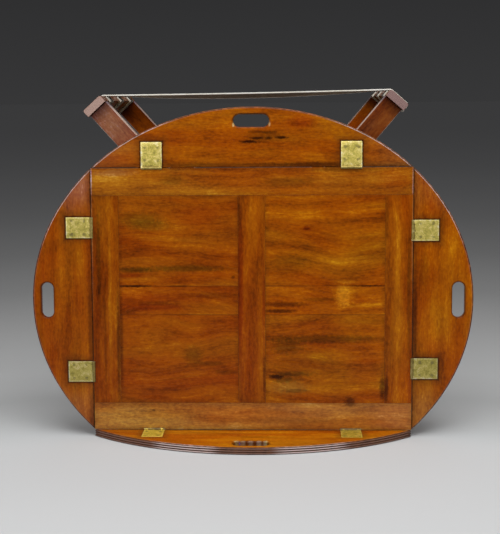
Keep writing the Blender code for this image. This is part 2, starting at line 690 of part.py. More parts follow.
def strap_path():
    """The strap's middle line: round the left rail, across, and round the right rail.

    Each end is nailed to a rail's inner edge, just under the strap.
    """
    clear = GAP + STRAP_THICKNESS / 2
    outward = pi / 2 + LEG_LEAN
    inner = LEG_WIDTH / 2
    outer = inner + RAIL_OVERHANG
    level = RAIL_OUTER_FACE - RAIL_ROUNDING
    top = left_rail_point(level, inner - RAIL_ROUNDING)
    run_height = top.y + RAIL_ROUNDING + clear
    left = [left_rail_point(LEG_REACH + STRAP_END, inner + clear),
            *arc(left_rail_point(RAIL_INNER_FACE, inner), clear, outward - pi / 2,
                 outward - pi, CORNER_STEPS),
            *arc(left_rail_point(RAIL_INNER_FACE, -outer), clear, outward + pi,
                 outward + pi / 2, CORNER_STEPS),
            *arc(left_rail_point(level, RAIL_ROUNDING - outer), RAIL_ROUNDING + clear,
                 outward + pi / 2, outward, CORNER_STEPS),
            *arc(top, RAIL_ROUNDING + clear, outward, pi / 2, CORNER_STEPS)]
    run = []
    for i in range(1, STRAP_RUN_STEPS):
        x = top.x * (1 - 2 * i / STRAP_RUN_STEPS)
        run.append((x, run_height - STRAP_SAG * (1 - (x / top.x) ** 2)))
    return left + run + [(-x, y) for x, y in reversed(left)]


def straps(stand):
    """Webbing straps that hold the stand open."""
    band = moved_mesh(outline_mesh([ribbon(strap_path(), STRAP_THICKNESS)], STRAP_WIDTH),
                      Matrix.Rotation(-STAND_TURN, 4, "Y") @ TO_XZ_PLANE)
    for place, share in zip(("front", "middle", "rear"), STRAP_SHARES):
        piece(place + "_strap", band.copy(), stand, WEBBING, (0, share * STAND_DEPTH, 0))


# The tray against its stand

def rim_behind(angle):
    """The point of the oval's back edge at an angle, from the front hinge line, untilted X."""
    up_the_face = PANEL_DEPTH / 2 + OUTLINE_HALF_DEPTH * sin(angle)
    return (OUTLINE_HALF_LENGTH * cos(angle),
            up_the_face * sin(TRAY_LEAN) + BOARD_THICKNESS * cos(TRAY_LEAN),
            BOARD_THICKNESS + up_the_face * cos(TRAY_LEAN) - BOARD_THICKNESS * sin(TRAY_LEAN))


def stand_front():
    """How far behind the front hinge line the outer front leg just meets the leaning tray.

    The tray first meets that leg where the oval's edge crosses the leg's upper edge, so the
    crossing is found by halving the quarter of the oval that holds it.
    """
    lean = LEG_LEAN + STAND_TURN
    low, high = pi / 2, pi
    for _ in range(HALVINGS):
        middle = (low + high) / 2
        x, _, z = rim_behind(middle)
        across = (x - PIVOT_PLACE) * cos(lean) + (z - PIVOT_HEIGHT) * sin(lean)
        if across > LEG_WIDTH / 2:
            low = middle
        else:
            high = middle
    return rim_behind(low)[1] + GAP


def build():
    behind = stand_front()
    whole_depth = FRONT_FLAP_REACH + behind + STAND_DEPTH + RAIL_PROUD
    hinge_y = FRONT_FLAP_REACH - whole_depth / 2
    tray_and_flaps((0, hinge_y, BOARD_THICKNESS))
    stand = empty("stand_pivot", None, (PIVOT_PLACE, hinge_y + behind, PIVOT_HEIGHT))
    stand_frame("outer", stand, 1, 0)
    stand_frame("inner", stand, -1, INNER_LEG_START)
    pivot_hardware(stand)
    straps(stand)
    bpy.context.view_layer.update()


build()
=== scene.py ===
"""The looks of a butler tray that leans on its folding stand.

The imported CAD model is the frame. Boards, hinges, legs and straps are finer meshes that
replace their CAD nodes, and every surface has a node-based material.
Units are metres and +Z is up.
"""
import json
from collections import namedtuple
from math import asin, cos, pi, radians, sin, sqrt

import bmesh
import bpy
from mathutils import Matrix, Vector
from mathutils.geometry import tessellate_polygon


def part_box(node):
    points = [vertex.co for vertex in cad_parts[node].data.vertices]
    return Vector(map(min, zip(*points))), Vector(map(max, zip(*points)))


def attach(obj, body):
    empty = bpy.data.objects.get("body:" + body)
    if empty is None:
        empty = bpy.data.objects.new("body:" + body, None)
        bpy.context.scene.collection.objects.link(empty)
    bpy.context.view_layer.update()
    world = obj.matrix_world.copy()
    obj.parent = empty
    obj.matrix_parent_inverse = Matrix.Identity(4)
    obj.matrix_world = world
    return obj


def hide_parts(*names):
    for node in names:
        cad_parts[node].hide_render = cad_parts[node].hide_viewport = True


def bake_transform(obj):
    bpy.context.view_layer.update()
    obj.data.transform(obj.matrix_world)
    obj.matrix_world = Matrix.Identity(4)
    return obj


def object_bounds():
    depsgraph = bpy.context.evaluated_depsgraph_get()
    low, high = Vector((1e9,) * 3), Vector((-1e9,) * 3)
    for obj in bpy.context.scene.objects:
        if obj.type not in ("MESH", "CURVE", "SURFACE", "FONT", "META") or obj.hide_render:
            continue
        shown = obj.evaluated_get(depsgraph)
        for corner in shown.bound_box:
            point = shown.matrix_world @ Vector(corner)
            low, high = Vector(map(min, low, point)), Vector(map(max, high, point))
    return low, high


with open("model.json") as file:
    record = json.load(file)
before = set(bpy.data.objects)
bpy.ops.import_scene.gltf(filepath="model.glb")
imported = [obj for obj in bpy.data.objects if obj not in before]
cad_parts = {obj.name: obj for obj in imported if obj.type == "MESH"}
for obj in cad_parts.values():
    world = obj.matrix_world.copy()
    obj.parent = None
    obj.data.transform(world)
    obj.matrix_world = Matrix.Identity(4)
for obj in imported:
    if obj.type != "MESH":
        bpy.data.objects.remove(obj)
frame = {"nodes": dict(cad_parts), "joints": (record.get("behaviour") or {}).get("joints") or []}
CAD_BOX = [list(corner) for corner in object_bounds()]
JOINTS = {joint["name"]: joint for joint in frame["joints"]}

# Camera, fitted to the photograph
IMAGE_HEIGHT = 534
FOCAL_PIXELS = 1105.4
SENSOR = 36               # millimetres, along the image's long side
CAMERA_PLACE = Vector((0.076, -2.581, 0.7425))
CAMERA_YAW = radians(-1.896)
CAMERA_PITCH = radians(8.581)
CAMERA_ROLL = radians(-0.3735)

# Fits
GAP = 0.0003              # between pieces that fit together
HAIR = GAP / 10           # keeps the faces of joined shapes out of one plane
BOARD_GAP = 0.00003       # between the tray's boards, whose tongues keep the light out
SEAM = 0.0008             # between the panel's edge and a flap
OVERRUN = 0.004           # how far a cutter runs past the face that it opens
FLAT_ANGLE = radians(30)  # edges sharper than this are shaded sharp or eased

# Tray
BOARD_THICKNESS = 0.016
FRAME_BOARD_WIDTH = 0.060
BOARD_EASE = 0.0004
EASE_STEPS = 3
REED_COUNT = 3
REED_DEPTH = 0.0022
RIM_LIP = 0.0005          # flat above and below the reeds
REED_HEIGHT = (BOARD_THICKNESS - 2 * RIM_LIP) / REED_COUNT
REED_STEPS = 10
RIM_STEPS = 180
HAND_HOLE_LENGTH = 0.078
HAND_HOLE_WIDTH = 0.027
HAND_HOLE_ROUNDING = 0.0036
HAND_HOLE_STEPS = 20
ROUNDING_STEPS = 5
LONG_FLAP_HOLE_MARGIN = 0.0165
SIDE_FLAP_HOLE_MARGIN = 0.019

# Hinges
LEAF_WIDTH = 0.046
LEAF_LENGTH = 0.0565
TRAY_LEAF_LENGTH = 0.0138
LEAF_THICKNESS = 0.0016
LEAF_CORNER = 0.0010
LEAF_CORNER_STEPS = 3
LEAF_EASE = 0.00025
LEAF_EASE_STEPS = 2
PIN_RADIUS = 0.0013
BARREL_RADIUS = PIN_RADIUS + GAP + LEAF_THICKNESS
BARREL_STEPS = 28
KNUCKLES = 5
LONG_SIDE_HINGE_PLACE = 0.2187
LEFT_SIDE_HINGE_PLACE = 0.1605
RIGHT_SIDE_HINGE_PLACE = 0.153
SCREW_HEAD_RADIUS = 0.0034
SCREW_HEAD_HEIGHT = 0.0022
SCREW_SHANK_RADIUS = 0.0015
SCREW_SLOT = 0.0007
SCREW_SLOT_DEPTH = 0.0006
SCREW_SUNK = 0.00008
SCREW_STEPS = 28
SLOT_TURN = radians(67)   # from one screw's slot to the next
LEAF_SCREW_COLUMN = 0.0145
LEAF_SCREW_ROW_SHARES = (0.30, 0.78)
TRAY_SCREW_ROW_SHARES = (0.66,)
SPRING_WIDTH = 0.010
SPRING_LENGTH = 0.036
SPRING_THICKNESS = 0.0006

# Stand
LEG_LEAN = radians(41.3)  # from the stand's middle plane
STAND_TURN = radians(0.8)  # that plane leans this much to the left
LEG_REACH = 0.4915
LEG_WIDTH = 0.048
LEG_EASE = 0.0022
RAIL_THICKNESS = 0.018
RAIL_ROUNDING = 0.005
RAIL_OVERHANG = 0.004     # past the legs' outer edges
RAIL_EASE = 0.0012
RAIL_STEPS = 8
RAIL_INNER_FACE = LEG_REACH + GAP
RAIL_OUTER_FACE = RAIL_INNER_FACE + RAIL_THICKNESS
STRETCHER_REACH = 0.380
STRETCHER_WIDTH = 0.032
STRETCHER_THICKNESS = 0.020
STRETCHER_EASE = 0.0025

# Straps
STRAP_THICKNESS = 0.0025
STRAP_SAG = 0.0015
STRAP_END = 0.0125        # how far a nailed end reaches up the rail's inner edge
STRAP_DROOPS = {"front": 0.0105, "middle": 0.006, "rear": 0.004}  # of the rear selvedge
SELVEDGE = 0.0045
HATCH_PITCH = 0.0038
HERRINGBONE_WIDTH = 0.006
WRAPPED_LENGTH = 0.068    # of each end, on its rail's inner edge and underside
STRAP_RUN_STEPS = 60
STRAP_TURN_STEPS = 8
STRAP_WIDE_STEPS = 10

# The tray's frame: X along the tray, Y up its face, Z out of the face
BACK_LINE, FRONT_LINE, LEFT_LINE, RIGHT_LINE = (
    Vector(JOINTS[name + "_flap_hinge"]["pos_m"]) for name in ("back", "front", "left", "right"))
UP_THE_FACE = Vector(JOINTS["left_flap_hinge"]["axis"])
NORMAL = Vector((1, 0, 0)).cross(UP_THE_FACE)
PANEL_LENGTH = (RIGHT_LINE - LEFT_LINE).length
PANEL_DEPTH = (BACK_LINE - FRONT_LINE).length
OUTLINE_HALF_LENGTH = CAD_BOX[1][0]
OUTLINE_HALF_DEPTH = PANEL_DEPTH / 2 / sqrt(1 - (PANEL_LENGTH / 2 / OUTLINE_HALF_LENGTH) ** 2)
PIVOT = Vector(JOINTS["stand_fold"]["pos_m"])


def placed(origin, x_axis, z_axis):
    """The matrix of axes at an origin."""
    y_axis = z_axis.cross(x_axis)
    return Matrix.Translation(origin) @ Matrix((x_axis, y_axis, z_axis)).transposed().to_4x4()


TRAY = placed(FRONT_LINE, Vector((1, 0, 0)), NORMAL)
TO_XZ_PLANE = Matrix.Rotation(pi / 2, 4, "X")
TO_X_AXIS = Matrix.Rotation(pi / 2, 4, "Y")
PLATE_DOWN = Matrix.Rotation(-pi / 2, 4, "X")

# A flap's side of the tray: the oval's middle lies middle_offset behind the hinge line, with
# the half axes along the line and outward
Side = namedtuple("Side", "name middle_offset along outward hinge_place margin")
LONG_SIDE = (PANEL_DEPTH / 2, OUTLINE_HALF_LENGTH, OUTLINE_HALF_DEPTH, LONG_SIDE_HINGE_PLACE,
             LONG_FLAP_HOLE_MARGIN)
SHORT_SIDE = (PANEL_LENGTH / 2, OUTLINE_HALF_DEPTH, OUTLINE_HALF_LENGTH)
SIDES = (
    Side("back", *LONG_SIDE),
    Side("front", *LONG_SIDE),
    Side("left", *SHORT_SIDE, LEFT_SIDE_HINGE_PLACE, SIDE_FLAP_HOLE_MARGIN),
    Side("right", *SHORT_SIDE, RIGHT_SIDE_HINGE_PLACE, SIDE_FLAP_HOLE_MARGIN),
)


def new_object(name, data):
    """An object in the scene."""
    made = bpy.data.objects.new(name, data)
    bpy.context.scene.collection.objects.link(made)
    return made


# Meshes

def finished(shape, name):
    """A mesh from a bmesh, shaded smooth but for its sharp edges."""
    mesh = bpy.data.meshes.new(name)
    bmesh.ops.recalc_face_normals(shape, faces=shape.faces)
    shape.to_mesh(mesh)
    shape.free()
    mesh.shade_smooth()
    mesh.set_sharp_from_angle(angle=FLAT_ANGLE)
    return mesh


def arc(centre, radius, start, end, steps):
    """Points on a circle from one angle to another, both ends included."""
    angles = [start + (end - start) * i / steps for i in range(steps + 1)]
    return [(centre[0] + radius * cos(angle), centre[1] + radius * sin(angle))
            for angle in angles]


def plate_shape(walls):
    """A closed plate between the first and last level of its walls, as a bmesh.

    A wall is a list of loops, from the top level to the bottom one. The first wall is the
    outline and the others are holes.
    """
    shape = bmesh.new()
    layered = [[[shape.verts.new(point) for point in loop] for loop in loops] for loops in walls]
    for layers in layered:
        for upper, lower in zip(layers, layers[1:]):
            for i in range(len(upper)):
                shape.faces.new((upper[i - 1], lower[i - 1], lower[i], upper[i]))
    for level in (0, -1):
        loops = [layers[level] for layers in layered]
        corners = [vert for loop in loops for vert in loop]
        for triangle in tessellate_polygon([[vert.co for vert in loop] for loop in loops]):
            shape.faces.new([corners[i] for i in triangle])
    return shape


def prism_shape(outline, low, high, ease, steps=EASE_STEPS):
    """An outline in the XY plane, made solid from low to high, with its edges eased."""
    shape = bmesh.new()
    face = shape.faces.new([shape.verts.new((x, y, low)) for x, y in outline])
    raised = bmesh.ops.extrude_face_region(shape, geom=[face])["geom"]
    bmesh.ops.translate(shape, vec=(0, 0, high - low),
                        verts=[part for part in raised if isinstance(part, bmesh.types.BMVert)])
    bmesh.ops.recalc_face_normals(shape, faces=shape.faces)
    if ease:
        edges = [edge for edge in shape.edges if edge.calc_face_angle() > FLAT_ANGLE]
        bmesh.ops.bevel(shape, geom=edges, offset=ease, offset_type="OFFSET", segments=steps,
                        profile=0.5, affect="EDGES", clamp_overlap=True)
    return shape


def rectangle(x_span, y_span):
    """The corners of a rectangle."""
    return [(x_span[0], y_span[0]), (x_span[1], y_span[0]),
            (x_span[1], y_span[1]), (x_span[0], y_span[1])]


def block(x_span, y_span, z_span):
    """A plain block, for cutting."""
    return prism_shape(rectangle(x_span, y_span), *z_span, 0)


def rod(radius, length, steps, top_radius=None):
    """A cone or cylinder about Z, centred at the origin."""
    shape = bmesh.new()
    bmesh.ops.create_cone(shape, cap_ends=True, segments=steps, radius1=radius,
                          radius2=radius if top_radius is None else top_radius, depth=length)
    return shape


def moved(shape, matrix):
    """The same bmesh, moved."""
    bmesh.ops.transform(shape, matrix=matrix, verts=shape.verts)
    return shape


def joined(*shapes):
    """One bmesh of several."""
    whole = shapes[0]
    for other in shapes[1:]:
        mesh = bpy.data.meshes.new("joined")
        other.to_mesh(mesh)
        other.free()
        whole.from_mesh(mesh)
        bpy.data.meshes.remove(mesh)
    return whole


def shaped(shape, *steps):
    """A bmesh after Booleans: each step is an operation and the bmesh that it uses."""
    target = new_object("target", finished(shape, "target"))
    helpers = []
    for operation, other in steps:
        helpers.append(new_object("helper", finished(other, "helper")))
        boolean = target.modifiers.new("shape", "BOOLEAN")
        boolean.operation = operation
        boolean.solver = "EXACT"
        boolean.object = helpers[-1]
    graph = bpy.context.evaluated_depsgraph_get()
    result = bmesh.new()
    result.from_mesh(target.evaluated_get(graph).data)
    for used in (target, *helpers):
        mesh = used.data
        bpy.data.objects.remove(used)
        bpy.data.meshes.remove(mesh)
    return result


# Pieces

def add_piece(name, shape, place, body, slot, material, *nodes):
    """A piece of the object, standing for CAD nodes and riding on a CAD body if it has one."""
    made = new_object(name, finished(shape, name))
    made.matrix_world = place
    made.data.materials.append(material)
    if body:
        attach(made, body)
    if nodes:
        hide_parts(*nodes)
    return made


def flatten_shading(made):
    """Keep large flat faces flat, right up to their eased edges."""
    weighted = made.modifiers.new("flat faces", "WEIGHTED_NORMAL")
    weighted.keep_sharp = True


def paint(node, material):
    """Give a CAD node its material."""
    node.data.materials.clear()
    node.data.materials.append(material)


# Material nodes

def by_node(operation, swapped=False):
    """A method that works out an operation with a Math node."""
    def method(value, *others):
        terms = (value, *others)
        return calc(operation, *(reversed(terms) if swapped else terms))
    return method


class Value:
    """What a node gives. Sums and products of values add the Math nodes that work them out."""

    def __init__(self, socket):
        self.socket = socket
        self.tree = socket.id_data

    __abs__ = by_node("ABSOLUTE")
    __add__ = by_node("ADD")
    __sub__ = by_node("SUBTRACT")
    __rsub__ = by_node("SUBTRACT", swapped=True)
    __mul__ = by_node("MULTIPLY")
    __truediv__ = by_node("DIVIDE")
    __rtruediv__ = by_node("DIVIDE", swapped=True)


# The Mix node's sockets for colours, by number
FACTOR, COLOR_A, COLOR_B, RESULT = 0, 6, 7, 2

# A place on a surface, with its coordinates
Place = namedtuple("Place", "vector x y z")


def feed(inputs, values):
    """Set a node's inputs by name or number: link a Value, and set a number on the input."""
    for key, value in values.items():
        if isinstance(value, Value):
            value.tree.links.new(value.socket, inputs[key])
        else:
            inputs[key].default_value = value


def node(tree, kind, inputs, **settings):
    """A new shader node."""
    made = tree.nodes.new("ShaderNode" + kind)
    for name, value in settings.items():
        setattr(made, name, value)
    feed(made.inputs, inputs)
    return made


def add(tree, kind, inputs, output=0, **settings):
    """One of the values that a new shader node gives."""
    return Value(node(tree, kind, inputs, **settings).outputs[output])


def named_outputs(made):
    """All the values that a node gives, by name."""
    return {socket.name: Value(socket) for socket in made.outputs}


def calc(operation, *values, clamp=False):
    """The result of a Math node."""
    tree = next(value.tree for value in values if isinstance(value, Value))
    return add(tree, "Math", dict(enumerate(values)), operation=operation, use_clamp=clamp)


def length(vector):
    """The length of a vector."""
    return add(vector.tree, "VectorMath", {0: vector}, "Value", operation="LENGTH")


def length_of(x, y):
    """The length of a vector in the XY plane."""
    return length(add(x.tree, "CombineXYZ", {"X": x, "Y": y}))


def split(vector):
    """A vector as a Place."""
    return Place(vector, *(Value(part) for part in node(
        vector.tree, "SeparateXYZ", {"Vector": vector}).outputs))


def noise(vector, factors, detail=3.0, roughness=0.5, distortion=0.0):
    """Noise about zero, from about -0.5 to 0.5, at so many waves a metre each way."""
    scaled = add(vector.tree, "VectorMath", {0: vector, 1: factors}, operation="MULTIPLY")
    return add(vector.tree, "TexNoise", {
        "Vector": scaled, "Scale": 1.0, "Detail": detail, "Roughness": roughness,
        "Distortion": distortion}, "Fac") - 0.5


def fade(value, start, end, low=1.0, high=0.0):
    """A smooth change from low at start to high at end."""
    return add(value.tree, "MapRange", {"Value": value, "From Min": start, "From Max": end,
                                        "To Min": low, "To Max": high},
               interpolation_type="SMOOTHSTEP")


def painted(color, share, paint_color, blend_type="MIX"):
    """A colour with a share of another on it."""
    if not isinstance(paint_color, Value):
        paint_color = (*paint_color, 1)
    return add(color.tree, "Mix", {FACTOR: share, COLOR_A: color, COLOR_B: paint_color}, RESULT,
               data_type="RGBA", blend_type=blend_type)


def tinted(color, share, tint):
    """A colour, of which a share is multiplied by a tint."""
    return painted(color, share, tint, "MULTIPLY")


def ramp(value, stops):
    """A colour ramp of (position, colour) stops."""
    made = node(value.tree, "ValToRGB", {"Fac": value})
    elements = made.color_ramp.elements
    while len(elements) < len(stops):
        elements.new(1.0)
    for element, (position, color) in zip(elements, stops):
        element.position = position
        element.color = (*color, 1)
    return Value(made.outputs["Color"])


def times(tint, stops):
    """A ramp's stops, tinted."""
    return [(position, tuple(a * b for a, b in zip(color, tint))) for position, color in stops]


FINE_RELIEF = 0.0001


def bump(height, distance):
    """A bumpy normal, with the height in units of the distance."""
    return add(height.tree, "Bump", {"Height": height, "Distance": distance, "Strength": 1.0})


def new_material(name):
    """A material with its tree and the inputs of its shader."""
    material = bpy.data.materials.new(name)
    material.use_nodes = True
    tree = material.node_tree
    return material, tree, tree.nodes["Principled BSDF"].inputs


def object_space(tree):
    """The place that is shaded, in its object's space."""
    return add(tree, "TexCoord", {}, "Object")


# Wood

MAHOGANY = [(0.05, (0.085, 0.015, 0.0005)), (0.32, (0.225, 0.041, 0.0006)),
            (0.50, (0.310, 0.062, 0.0008)), (0.68, (0.385, 0.088, 0.0010)),
            (0.95, (0.570, 0.180, 0.0040))]
HUES = [(0.34, (0.92, 0.76, 0.80)), (0.50, (1.0, 1.0, 1.0)), (0.66, (1.04, 1.25, 1.9))]
STAIN = (0.56, 0.66, 0.80)
STAIN_STRENGTH = 0.55
PORE = (0.3, 0.25, 0.3)
PORE_STRENGTH = 0.30
# The colour of soiling, of dark joints and of painted shade at edges, seams and hollows
DIRT_AND_SHADE = (0.030, 0.010, 0.003)
ALONG_X = (0, 0, 0)
ALONG_Y = (0, 0, -pi / 2)
SEED_STEP = Vector((1.37, 0.71, 0.29))  # between the figures of two seeds, in metres
JOINT_STEP = (0.6, 0.2, 0.9)            # between those of two boards of a panel
JOINT_LINE = (0.0003, 0.0014)           # where its darkness starts and ends
STRAIGHT, WANDERING = 0.05, 0.13        # the grain's flow
PLAIN, CALM, STREAKED = 0.80, 0.85, 1.12  # the strength of its streaks

# Tints of single boards, times the mahogany's colours
AMBER = (1.0, 1.0, 1.0)
WARM = (1.08, 1.08, 1.0)
GOLDEN = (1.14, 1.42, 3.2)
SUNLIT = (1.16, 1.32, 1.0)
RUSSET = (0.92, 0.95, 1.0)
# The front rail's tint: partly a paler polish, partly painted sheen
POLISH_AND_SHEEN = (1.54, 2.52, 24.0)
# The front flap's tint, partly painted light: it faces up to the lights and is painted brighter
BRIGHT_AND_LIT = (1.30, 1.70, 1.6)
# The outer front leg's tint: a pale pink painted reflection on its face
ROSY_REFLECTION = (0.78, 1.38, 56.0)
BROWN = (0.36, 0.48, 6.0)
CHESTNUT = (0.62, 0.74, 10.0)


def figure_group():
    """Mahogany figure in grain space: X runs along the grain, in metres."""
    group = bpy.data.node_groups.new("mahogany figure", "ShaderNodeTree")
    for names, in_out, kind in ((("Vector",), "INPUT", "Vector"),
                                (("Flow", "Streaks"), "INPUT", "Float"),
                                (("Tone", "Pores", "Hue", "Stain"), "OUTPUT", "Float")):
        for name in names:
            group.interface.new_socket(name, in_out=in_out, socket_type="NodeSocket" + kind)
    given = named_outputs(group.nodes.new("NodeGroupInput"))
    place = given["Vector"]
    sway = noise(place, (3.2, 5, 5), 2.0, 0.45) * given["Flow"]
    shift = add(group, "CombineXYZ", {"Y": sway})
    swayed = add(group, "VectorMath", {0: place, 1: shift}, operation="ADD")
    bands = noise(swayed, (3.4, 42, 42), 5.0, 0.62)
    fine = noise(swayed, (40, 380, 380), 2.0, 0.6)
    mottle = noise(place, (110, 210, 210), 3.0, 0.65)
    cloud = noise(place, (9, 17, 17), 4.0, 0.62)
    feed(group.nodes.new("NodeGroupOutput").inputs, {
        "Tone": bands * given["Streaks"] + fine * 0.36 + mottle * 0.70 + cloud * 0.85 + 0.5,
        "Hue": noise(swayed, (3.4, 15, 15), 4.0, 0.58) * 1.3 + 0.5,
        "Stain": fade(noise(swayed, (1.8, 31, 31), 4.0, 0.62), 0.10, 0.26, 0.0, 1.0),
        "Pores": fade(noise(swayed, (110, 2400, 2400), 1.0), 0.10, 0.20, 0.0, 1.0)})
    return group


FIGURE = figure_group()


def wood(name, seed, tint, grain=ALONG_X, dirt=None, changes=(), flow=STRAIGHT, joints=(),
         streaks=STREAKED):
    """Waxed mahogany.

    grain is the turn that lays the piece's grain along X, flow is how far it wanders and
    streaks is how strong it is. The figure starts anew across each of the joints, which are
    places in Y. Each change makes a new colour of a place and a colour. dirt
    lists, from a place, the distances from the edges, seams and hollows that it darkens with
    soiling and painted shade, each with its reach and its strength.
    """
    material, tree, shader = new_material(name)
    place = split(object_space(tree))
    laid = add(tree, "Mapping", {"Vector": place.vector, "Rotation": grain,
                                 "Location": seed * SEED_STEP})
    for joint in joints:
        beyond = calc("GREATER_THAN", place.y, joint)
        laid = add(tree, "VectorMath", {0: JOINT_STEP, 1: beyond, 2: laid},
                   operation="MULTIPLY_ADD")
    figure = named_outputs(node(tree, "Group", {"Vector": laid, "Flow": flow,
                                                "Streaks": streaks}, node_tree=FIGURE))
    color = ramp(figure["Tone"], times(tint, MAHOGANY))
    for joint in joints:
        broken = calc("MULTIPLY_ADD", noise(place.vector, (9, 9, 9), 2.0), 1.6, 0.55, clamp=True)
        line = fade(abs(place.y - joint), *JOINT_LINE, 0.85)
        color = painted(color, line * broken, DIRT_AND_SHADE)
    color = tinted(color, 1.0, ramp(figure["Hue"], HUES))
    color = tinted(color, figure["Stain"] * STAIN_STRENGTH, STAIN)
    color = tinted(color, figure["Pores"] * PORE_STRENGTH, PORE)
    for change in changes:
        color = change(place, color)
    # Soiling together with painted shade, darkest next to edges, seams and hollows
    if dirt:
        soiled_and_shaded = 0.0
        ragged = noise(place.vector, (90, 90, 90), 4.0, 0.6) * 0.006
        for distance, reach, strength in dirt(place):
            soiled_and_shaded = calc("MAXIMUM", soiled_and_shaded, fade(distance + ragged, 0.0, reach, strength))
        color = painted(color, soiled_and_shaded, DIRT_AND_SHADE)
    feed(shader, {
        "Base Color": color, "Specular IOR Level": 0.10,
        "Roughness": figure["Hue"] * 0.08 + figure["Pores"] * 0.10 + 0.24,
        "Normal": bump(figure["Tone"] * 0.5 - figure["Pores"] * 0.6, FINE_RELIEF)})
    return material


# A mark is a place and half sizes in millimetres, a tint and a strength. Some marks are
# painted highlights, sheen and shade, as noted where they stand
MM = 0.001
MARK_EDGE = (0.35, 1.35)      # where its fading starts and ends, in half sizes
MARKED_DEPTH = (-0.80 * BOARD_THICKNESS, -0.60 * BOARD_THICKNESS)  # none below, all above
OLIVE = (0.42, 0.56, 0.9)
DARK = (0.16, 0.13, 0.3)
RED = (0.80, 0.52, 0.8)
SUNNY = (1.50, 2.10, 4.0)
GLOW = (1.25, 1.60, 2.2)
SMOKE = (0.80, 1.12, 9.0)
# A painted sheen
ENDS_SHEEN = (0.98, 1.30, 20.0)
SHINE = (2.2, 6.5, 260.0)
GLEAM = (1.6, 3.0, 60.0)
# Painted highlights in a hand hole
SLOT_HIGHLIGHT = (2.6, 7.5, 150.0)
# Painted shade in a hand hole
SLOT_SHADE = (0.42, 0.30, 1.0)
# A painted sheen
CREAMY_SHEEN = (1.15, 1.50, 1.5)

# Marks on the tray's face, from the middle of its front edge
UPPER_LINE = 322          # where a panel's boards meet
LOWER_LINE = 258
BOARD_MARKS = {
    "left_panel": (
        (-262, UPPER_LINE, 42, 3, DARK, 0.95), (-160, UPPER_LINE, 30, 2.4, DARK, 0.6),
        (-245, 336, 45, 11, GLOW, 0.8), (-250, 470, 60, 17, OLIVE, 0.65),
        (-200, 110, 80, 30, RED, 0.2), (-170, 297, 110, 10, RED, 0.55),
        (-140, 361, 100, 8, OLIVE, 0.9), (-255, 358, 45, 6.5, OLIVE, 0.95),
        (-265, 345, 30, 5, RED, 0.8), (-225, 455, 50, 14, OLIVE, 0.55),
        (-120, 480, 60, 25, RED, 0.45), (-180, 425, 70, 15, GLOW, 0.5),
        (-100, 300, 70, 8, OLIVE, 0.45), (-210, 275, 75, 9, RED, 0.85),
        (-220, 283, 40, 5, DARK, 0.3), (-41, 342, 5, 4, DARK, 0.6),
        (-130, 165, 22, 23, OLIVE, 0.6), (-95, 149, 35, 6, OLIVE, 0.6),
        (-60, 130, 30, 6, OLIVE, 0.6), (-230, 215, 50, 20, GLOW, 0.5),
        (-180, 130, 100, 25, GLOW, 0.25), (-290, 200, 4, 120, DARK, 0.45)),
    "right_panel": (
        (258, UPPER_LINE, 40, 2.2, DARK, 0.85), (120, 448, 10, 5, RED, 1),
        (120, 448, 8, 3, DARK, 0.6), (205, 331, 25, 5, SUNNY, 0.6), (80, 370, 50, 28, OLIVE, 0.4),
        (260, 400, 60, 25, OLIVE, 0.25), (120, 150, 90, 35, OLIVE, 0.35),
        (250, 130, 40, 30, RED, 0.55), (203, 300, 24, 28, SUNNY, 0.9),
        (200, 298, 16, 23, SUNNY, 0.55), (240, 280, 45, 6, GLOW, 0.8),
        (150, 292, 40, 5, OLIVE, 0.5), (75, 281, 50, 6.5, DARK, 0.65),
        (62, 266, 36, 5, DARK, 0.85), (120, 235, 80, 12, RED, 0.45),
        (160, 204, 140, 10, OLIVE, 0.85), (75, 190, 40, 19, OLIVE, 0.75),
        (53, 119, 18, 6, DARK, 1), (70, 112, 28, 7, OLIVE, 0.8), (90, 126, 45, 6, OLIVE, 0.75),
        (82, 95, 45, 17, SMOKE, 0.8), (95, 88, 30, 5, OLIVE, 0.6), (130, 110, 50, 20, GLOW, 0.5),
        (180, 165, 60, 14, GLOW, 0.6), (150, 385, 100, 20, GLOW, 0.35),
        (217, 66, 12, 11, DARK, 0.75), (288, 94, 7, 30, DARK, 0.75)),
    "front_rail": (
        (217, 59, 12, 8, DARK, 0.65), (-220, 43, 4, 2.5, DARK, 0.6),
        # (-240, 30) is a painted sheen on the rail's pale left end
        (-240, 30, 120, 30, CREAMY_SHEEN, 1), (100, 20, 100, 9, OLIVE, 0.3), (320, 30, 60, 40, RED, 0.5)),
    "back_rail": (
        (-352, 560, 1.8, 40, GLEAM, 0.8), (352, 550, 1.8, 40, GLEAM, 0.7),
        (-175, 556, 30, 12, OLIVE, 0.5), (80, 550, 60, 12, OLIVE, 0.45),
        (200, 577, 80, 6, DARK, 0.5), (310, 550, 35, 25, RED, 0.5), (-300, 572, 50, 8, SMOKE, 0.5)),
    "left_stile": (
        (-314, 300, 4, 210, GLOW, 0.8), (-352, 420, 1.8, 130, GLEAM, 0.8),
        (-338, 380, 5, 120, OLIVE, 0.7), (-326, 200, 3, 150, DARK, 0.35),
        (-297, 180, 4, 130, DARK, 0.6)),
    "muntin": (
        (-25, 291, 7, 230, RED, 0.85), (-28, 480, 4, 50, DARK, 0.45),
        (0, 470, 16, 60, GLOW, 0.45), (26, 260, 4, 150, RED, 0.7), (27, 120, 3, 50, DARK, 0.5),
        (0, 200, 20, 90, RED, 0.3)),
    "right_stile": (
        (297, 94, 5, 32, DARK, 0.75), (352, 430, 1.8, 110, GLEAM, 0.6),
        (296, 470, 4, 50, DARK, 0.35), (345, 300, 4, 160, OLIVE, 0.6),
        (322, 300, 10, 200, GLOW, 0.4)),
}

